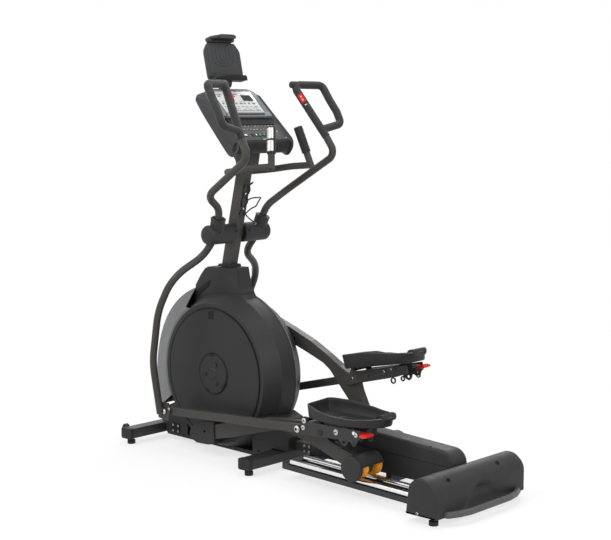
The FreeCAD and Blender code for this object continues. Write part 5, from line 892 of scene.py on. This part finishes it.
def make_handlebar():
    """A bar bent round the mast, with a straight post welded on each end. Each post has a sleeve
    with two half bands on its outer face."""
    bar = Sculpt("handlebar_tubes", "frame", "frame_paint", "paint", "black")
    sleeves = Sculpt("pulse_sleeves", "frame", "black_plastic", "black")
    bands = Sculpt("pulse_contacts", "frame", "plate_chrome", "plate", "gap")
    nose = (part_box("handlebar")[0][0] - CRANK.x) * 1000 + 16
    half = [(nose, 34, 1372), (62, 92, 1376), (150, 117, 1385), (279, 130, 1404), POST_FOOT]
    route = [(x, -y, z) for x, y, z in half[::-1]] + half
    bar.tube(BASE, bent(route, 34), 16, 20)
    saddle = rect(nose - 2, nose + 46, 1358, 1386)
    saddle[2] = (nose + 40, 1386)
    bar.prism(beside(BASE, -21, 1), saddle, 0, 42, 1, bevel=2)
    length = POST_REACH - SLEEVE_START
    turns = [radians(-62 + 7.75 * step) for step in range(17)]
    for side in (-1, 1):
        foot, heading = on_side(*POST_FOOT, side), on_side(*POST_HEADING, side)
        low = foot - heading * 11
        bar.tube(BASE, [low, foot, foot + heading * (POST_REACH - 4)], 16, 24)
        cap = facing(BASE, low, -heading, (1, 0, 0))
        bar.lathe(cap, [(15, -4), (15.6, -0.6), (14.6, 1.6), (8, 2.4), (0, 2.4)], 28, 1)
        spot = facing(BASE, foot + heading * SLEEVE_START, heading, (1, 0, 0))
        sleeves.lathe(spot, [(16.2, 0), (20.4, 0.4), (20.8, 2), (20.8, 59), (21.2, 61), (21.2, 65),
            (20.8, 67), (20.8, length - 7), (19.2, length - 2), (15, length), (0, length + 0.6)],
            40)
        out = Vector((0.2, side, 0))
        out = (out - heading * out.dot(heading)).normalized()
        across = heading.cross(out)
        for start, end in ((8, 60), (68, 120)):
            rings = []
            for reach, height in ((20.6, start), (21.8, start + 0.8), (21.8, end - 0.8),
                    (20.6, end)):
                spot = foot + heading * (SLEEVE_START + height)
                rings.append([bands.vert(BASE, spot + out * (size * cos(turn)) +
                    across * (size * sin(turn)))
                    for size, line in ((reach, turns), (20.3, turns[::-1])) for turn in line])
            bands.rings(rings)
    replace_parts(bar.done(40), "handlebar")
    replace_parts(sleeves.done(40), "pulse_grips")
    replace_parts(bands.done(40), "pulse_plates")


# ---- drum
def strip(target, here, points, width, height, material=0, normal=(0, -1, 0)):
    """A thin flat seam line on a surface."""
    normal = Vector(normal)
    points = [Vector(point) for point in points]
    rings = []
    for index, point in enumerate(points):
        before, after = points[max(index - 1, 0)], points[min(index + 1, len(points) - 1)]
        across = (after - before).cross(normal).normalized() * (width / 2)
        rings.append([target.vert(here, point - across), target.vert(here, point + across),
            target.vert(here, point + across * 0.6 + normal * height),
            target.vert(here, point - across * 0.6 + normal * height)])
    target.rings(rings, material)


DISC_FACE = 130.1                                 # from the middle of the machine
COVER_SIDE = 45.2                                 # face of the tower's side covers


def make_drum_details():
    """Notch, steps and grooves of the crank discs and their hub caps."""
    marks = Sculpt("disc_details", "crankset", "band_plastic", "gap", "band", "bolt")
    for side in (-1, 1):
        face = beside(at(BASE, 0, 0, CRANK_HEIGHT), DISC_FACE * side, side)
        notch = radians(92.5 if side < 0 else 272.5)
        spot = face @ Matrix.Rotation(notch, 4, "Z")
        marks.plate(spot, [(267, -19), (305, -20), (305, 20), (267, 19)], 3, -1.5, 0.3, 0)
        marks.lathe(face, [(322.0, -2.0), (322.0, 0.1), (316.5, 0.2), (316.5, -2.0)], 160, 0,
            closed=True)
        marks.lathe(face, [(306.0, -1.2), (303.5, 0.2), (299.0, 0.3), (296.0, -1.2)], 160, 1,
            closed=True)
        cap = at(face, 0, 0, 7.0)
        marks.lathe(cap, [(103.5, -7.4), (103.5, -6.6), (98.8, -6.4), (98.8, -7.4)], 96, 0,
            closed=True)
        marks.lathe(cap, [(97.5, -0.6), (96.6, 0.7), (94.6, 0.7), (93.6, -0.6)], 96, 1,
            closed=True)
        for turn in (92, -30, -112):
            clip = cap @ Matrix.Rotation(radians(turn), 4, "Z")
            marks.plate(clip, [(88, -13), (99.5, -14), (99.5, 14), (88, 13)], 3, -1, 0.8, 0)
        for turn in (62, -170, -58):
            clip = cap @ Matrix.Rotation(radians(turn), 4, "Z")
            marks.plate(clip, [(42, -6), (58, -8), (60, 8), (45, 5)], 2, -0.4, 0.6, 1, bevel=0.4)
            marks.plate(clip, rect(60, 62, -8, 8), 0.9, -0.4, 0.8, 0, steps=2)
    marks.done(35)


def make_rear_hood():
    """Rear cover: a loaf across the frame whose rear face is scooped out over the handle."""
    hood = Sculpt("rear_hood", "frame", "cover_plastic", "cover")
    outline = rounded([(1518, 31), (1518, 150), (1466, 191), (1417, 191), (1372, 160), (1357, 31)],
        [3, 46, 40, 34, 60, 3], 9)
    lower = []
    for (x, z), (x2, z2) in zip(outline, outline[1:] + outline[:1]):
        lower.append((x, z))
        if x > 1510 and x2 > 1510 and abs(z2 - z) > 30:
            lower += [(x + (x2 - x) * t / 8, z + (z2 - z) * t / 8) for t in range(1, 8)]
    rings = []
    ends = [(312, 9), (311, 5), (308, 2), (302, 0), (260, 0), (220, 0)]
    steps = both_ways(ends + [(y, 0) for y in range(180, 0, -15)])
    for y, shrink in steps[:len(steps) // 2] + [(0, 0)] + steps[len(steps) // 2:]:
        ring = []
        wide = eased(1 - abs(y) / 172)
        for index in range(len(lower)):
            x, z = inward(lower, shrink, index)
            if x > 1440 and wide:
                deep = 5 + 19 * clamp((z - 84) / 24)
                x -= deep * eased((46 + 100 * wide - z) / 46) * min(1.0, wide * 2.2)
            ring.append(hood.vert(BASE, (x, y, z)))
        rings.append(ring)
    hood.rings(rings)
    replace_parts(hood.done(35), "rear_cover")


def make_frame_details():
    """Seams, louvres and a light stripe along the drum's far edge that is a painted highlight, and
    screw holes, bolts and lines of the covers.
    """
    seams = Sculpt("drum_seams", "frame", "cover_plastic", "gap")
    for side in (-1, 1):
        out = (0, side, 0)
        y = COVER_SIDE * side
        strip(seams, BASE, [(92, y, 905), (98, y, 850), (110, y, 790)], 2.2, 0.4, 0, out)
        strip(seams, BASE, [(-150, y, 760), (-20, y, 787), (110, y, 790)], 1.6, 0.3, 0, out)
    ring = [(113, -46 + step * 92 / 12, 791) for step in range(13)]
    strip(seams, BASE, ring, 2.4, 0.5, 0, (0.30, 0, 0.95))
    seams.done()
    louvre = Sculpt("tower_louvre", "frame", "black_plastic", "gap", "black")
    for side in (-1, 1):
        here = beside(BASE, 44 * side, side)
        louvre.plate(here, [(-94, 842), (-122, 834), (-152, 816), (-186, 792), (-226, 762),
            (-240, 716), (-205, 742), (-160, 776), (-118, 806)], 4, -4, 1.4, 0, steps=3)
        for shift in (0, 15):
            blade = [(-112 - shift * 0.6, 826 - shift), (-160 - shift * 0.6, 790 - shift),
                (-226, 742 - shift)]
            strip(louvre, BASE, [(x, COVER_SIDE * side, z) for x, z in blade], 4.5, 3.0, 1,
                (0, side, 0))
    louvre.done()
    # A light grey stripe along the far side cover's rim: a painted highlight.
    edge = Sculpt("far_edge_painted_highlight", "frame", "trim_plastic", "trim")
    arc = []
    for step in range(49):
        angle = radians(-62 + step * 2.9)
        arc.append((391.5 * cos(angle), 49, CRANK_HEIGHT + 391.5 * sin(angle)))
    edge.tube(BASE, arc, 2.6, 10)
    edge.done()
    screws = Sculpt("cover_screws", "frame", "black_plastic", "cover", "gap")
    for side in (-1, 1):
        here = beside(BASE, 88 * side, side)
        for x, z in ((-269, 38.5), (-12, 39), (272, 54)):
            recess(screws, at(here, x, z), 5.5)
        screws.plate(here, rect(-358, -296, 39, 91), 6, -2, 3, 1, bevel=1.2)
    for x, y, z, tilt in ((1491.1, -196.9, 173.7, (0.71, 0, 0.71)),
            (1486.6, 150.7, 177.7, (0.64, 0, 0.77)), (1272.8, -42, 244.6, (0.04, -0.3, 0.95)),
            (1281.4, 28.7, 245.1, (0.04, 0, 1))):
        recess(screws, facing(BASE, (x, y, z), tilt, (1, 0, 0)), 9.5 if x > 1400 else 6.5)
    screws.done(30)
    bolts = Sculpt("bracket_bolts", "frame", "bright_steel", "bolt", "gap")
    for side in (-1, 1):
        here = beside(BASE, 91 * side, side)
        for x in (-346, -308):
            for z in (51, 79):
                screw(bolts, at(here, x, z), 6, 3.6)
        end = at(beside(BASE, 312 * side, side), 1421.6, 43)
        screw(bolts, end, 6.5, 3.2)
    bolts.done()
    lines = Sculpt("centre_cover_lines", "frame", "cover_plastic", "gap")
    for side in (-1, 1):
        line = [(640 + step * 75, 52.2 * side, 186 - step * 1.1) for step in range(11)]
        strip(lines, BASE, line, 3.0, 0.5, 0, (0, side, 0))
    lines.done()


# ---- bottle cage
MAST_X, PIVOT_HEIGHT = 22, 1079                   # the mast's middle at the arms' pivot
MAST_LEAN, MAST_REACH = radians(13.2), 30.3       # and from there to its rear face
CAGE_HEIGHT = 1142


def make_cage():
    """Bent wire cage: a ladder of waves on the mast, two side arms, a front hoop and a foot."""
    front = MAST_X + (CAGE_HEIGHT - PIVOT_HEIGHT) * tan(MAST_LEAN) + MAST_REACH / cos(MAST_LEAN)
    here = flipped(frame_at(Vector((CRANK.x + front / 1000, 0, CAGE_HEIGHT / 1000)), 76.8))
    cage = Sculpt("bottle_cage_wire", "frame", "dark_frame", "dark_paint", "bolt")
    for side in (-1, 1):
        arm = [(24, 9, 6), (40, 20, 9), (62, 36, 20), (80, 44, 40), (104, 43, 52), (124, 38, 66),
            (136, 24, 80), (138, 0, 87)]
        lower = [(40, 10, 6), (22, 24, 10), (8, 38, 24), (3, 42, 46), (2, 34, 68), (3, 16, 82),
            (8, 0, 88)]
        spine = [(24, 9, 6), (70, 10, 5), (96, 17, 7), (122, 10, 6), (150, 19, 8), (176, 12, 9),
            (190, 22, 16), (194, 12, 24), (190, 0, 27)]
        for path in (arm, lower, spine):
            cage.tube(here, smooth_line([(u, y * side, w) for u, y, w in path], 7), 3.4, 12)
    cage.plate(here, rect(14, 176, -13, 13), 10, 0.2, 3.6, bevel=1.0, steps=5)
    for u in (58, 132):
        screw(cage, at(here, u, 0, 3.4), 7, 3.4, material=1, hole=0)
    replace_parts(cage.done(50), "bottle_cage")


# ---- roller arms and crank covers
ARM_LENGTH = 1.009                                # crank pin to roller, in metres


def make_link_details(word, side):
    """Cap on the roller's end; screw hole and seam on the cover over the crank pin."""
    pin = JOINT[f"{word}_roller_spin"]["pos_m"]
    body = f"{word}_roller_arm"
    here = frame_at(Vector((pin[0], 0, pin[2])), LINK_ANGLE[word])
    end = Sculpt(f"{word}_roller_cap", body, "cover_plastic", "cover", "gap")
    face = beside(here, 253 * side, side)
    end.lathe(face, [(55, -3), (53.5, 0.8), (50, 2.6), (44, 3.6), (20, 4.6), (0, 4.8)], 64)
    end.done(30)
    cover = Sculpt(f"{word}_crank_cover_marks", body, "cover_plastic", "cover", "gap")
    angle = radians(LINK_ANGLE[word])
    origin = frame_at(Vector((pin[0] - ARM_LENGTH * cos(angle), 0,
        pin[2] - ARM_LENGTH * sin(angle))), LINK_ANGLE[word])
    front = beside(origin, 181 * side, side)
    recess(cover, at(front, -4, 4), 6.5)
    strip(cover, origin, [(63, 181.4 * side, -50), (66, 181.4 * side, -20), (64, 181.4 * side, 10),
        (65, 181.4 * side, 58)], 4.5, 0.8, 1, (0, side, 0))
    cover.done(30)


def make_pieces():
    for word, side in SIDES.items():
        make_tray(word, side)
        make_arm_fittings(word, side)
        make_arm_details(word, side)
        make_grip_details(word, side)
        make_link_details(word, side)
    make_console_shell()
    make_console_panel()
    make_tablet_holder()
    make_handlebar()
    make_drum_details()
    make_rear_hood()
    make_frame_details()
    make_cage()


# ---- stage and light
def add_stage():
    """White floor that keeps the shadow near the machine and fades to white far from it."""
    floor_mesh = bpy.data.meshes.new("Floor")
    corners = [(x, y, 0) for x, y in rect(-55.0, 55.0, -55.0, 55.0)]
    floor_mesh.from_pydata(corners, [], [(0, 1, 2, 3)])
    floor = bpy.data.objects.new("Floor", floor_mesh)
    scene.collection.objects.link(floor)
    floor.location.z = -0.001
    paper = bpy.data.materials.new("floor_paper")
    paper.use_nodes = True
    tree = paper.node_tree
    tree.nodes.clear()
    noise = node(tree, "TexNoise", Scale=3.0, Detail=4.0)
    white = color_between(tree, noise.outputs["Fac"], (0.90, 0.90, 0.90), (0.93, 0.93, 0.93))
    shader = node(tree, "BsdfPrincipled", Base_Color=white, Roughness=0.9, Specular_IOR_Level=0.1)
    glow = node(tree, "Emission", Strength=1.0)
    place = node(tree, "TexCoord").outputs["Object"]
    away = node(tree, "VectorMath", place, operation="LENGTH").outputs["Value"]
    fade = spread(tree, away, 1.0, 2.6, 0.72, 1.0)
    share = node(tree, "Math", fade, seen_directly(tree), operation="MULTIPLY")
    mix = node(tree, "MixShader", share.outputs[0], shader.outputs[0], glow.outputs[0])
    node(tree, "OutputMaterial", Surface=mix.outputs[0])
    floor.data.materials.append(paper)


def seen_directly(tree):
    """1 for rays from the camera, a mirror or glass."""
    path = node(tree, "LightPath").outputs
    first = node(tree, "Math", path["Is Camera Ray"], path["Is Glossy Ray"], operation="MAXIMUM")
    both = node(tree, "Math", first.outputs[0], path["Is Transmission Ray"], operation="MAXIMUM")
    return both.outputs[0]


def lamp(name, place, size, power):
    data = bpy.data.lights.new(name, "AREA")
    data.shape = "RECTANGLE"
    data.size, data.size_y = size
    data.energy = power
    thing = bpy.data.objects.new(name, data)
    scene.collection.objects.link(thing)
    aim(thing, place, (0, 0, 0.9))


def add_light():
    world = bpy.data.worlds.new("Studio")
    scene.world = world
    world.use_nodes = True
    tree = world.node_tree
    tree.nodes.clear()
    fill = node(tree, "Background", Color=(1, 1, 1, 1), Strength=0.5)
    seen = node(tree, "Background", Color=(1, 1, 1, 1), Strength=1.0)
    mix = node(tree, "MixShader", seen_directly(tree), fill.outputs[0], seen.outputs[0])
    node(tree, "OutputWorld", Surface=mix.outputs[0])
    lamp("Key", (-1.5, -4.0, 4.2), (2.6, 2.6), 130)
    lamp("Fill", (4.2, -1.5, 2.6), (2.4, 2.4), 70)
    lamp("Top", (0.2, 0.6, 4.6), (3.0, 2.0), 80)
    lamp("Back", (-2.0, 3.6, 3.0), (2.0, 2.0), 50)


add_camera()
make_materials()
dress_cad()
make_pieces()
add_stage()
add_light()
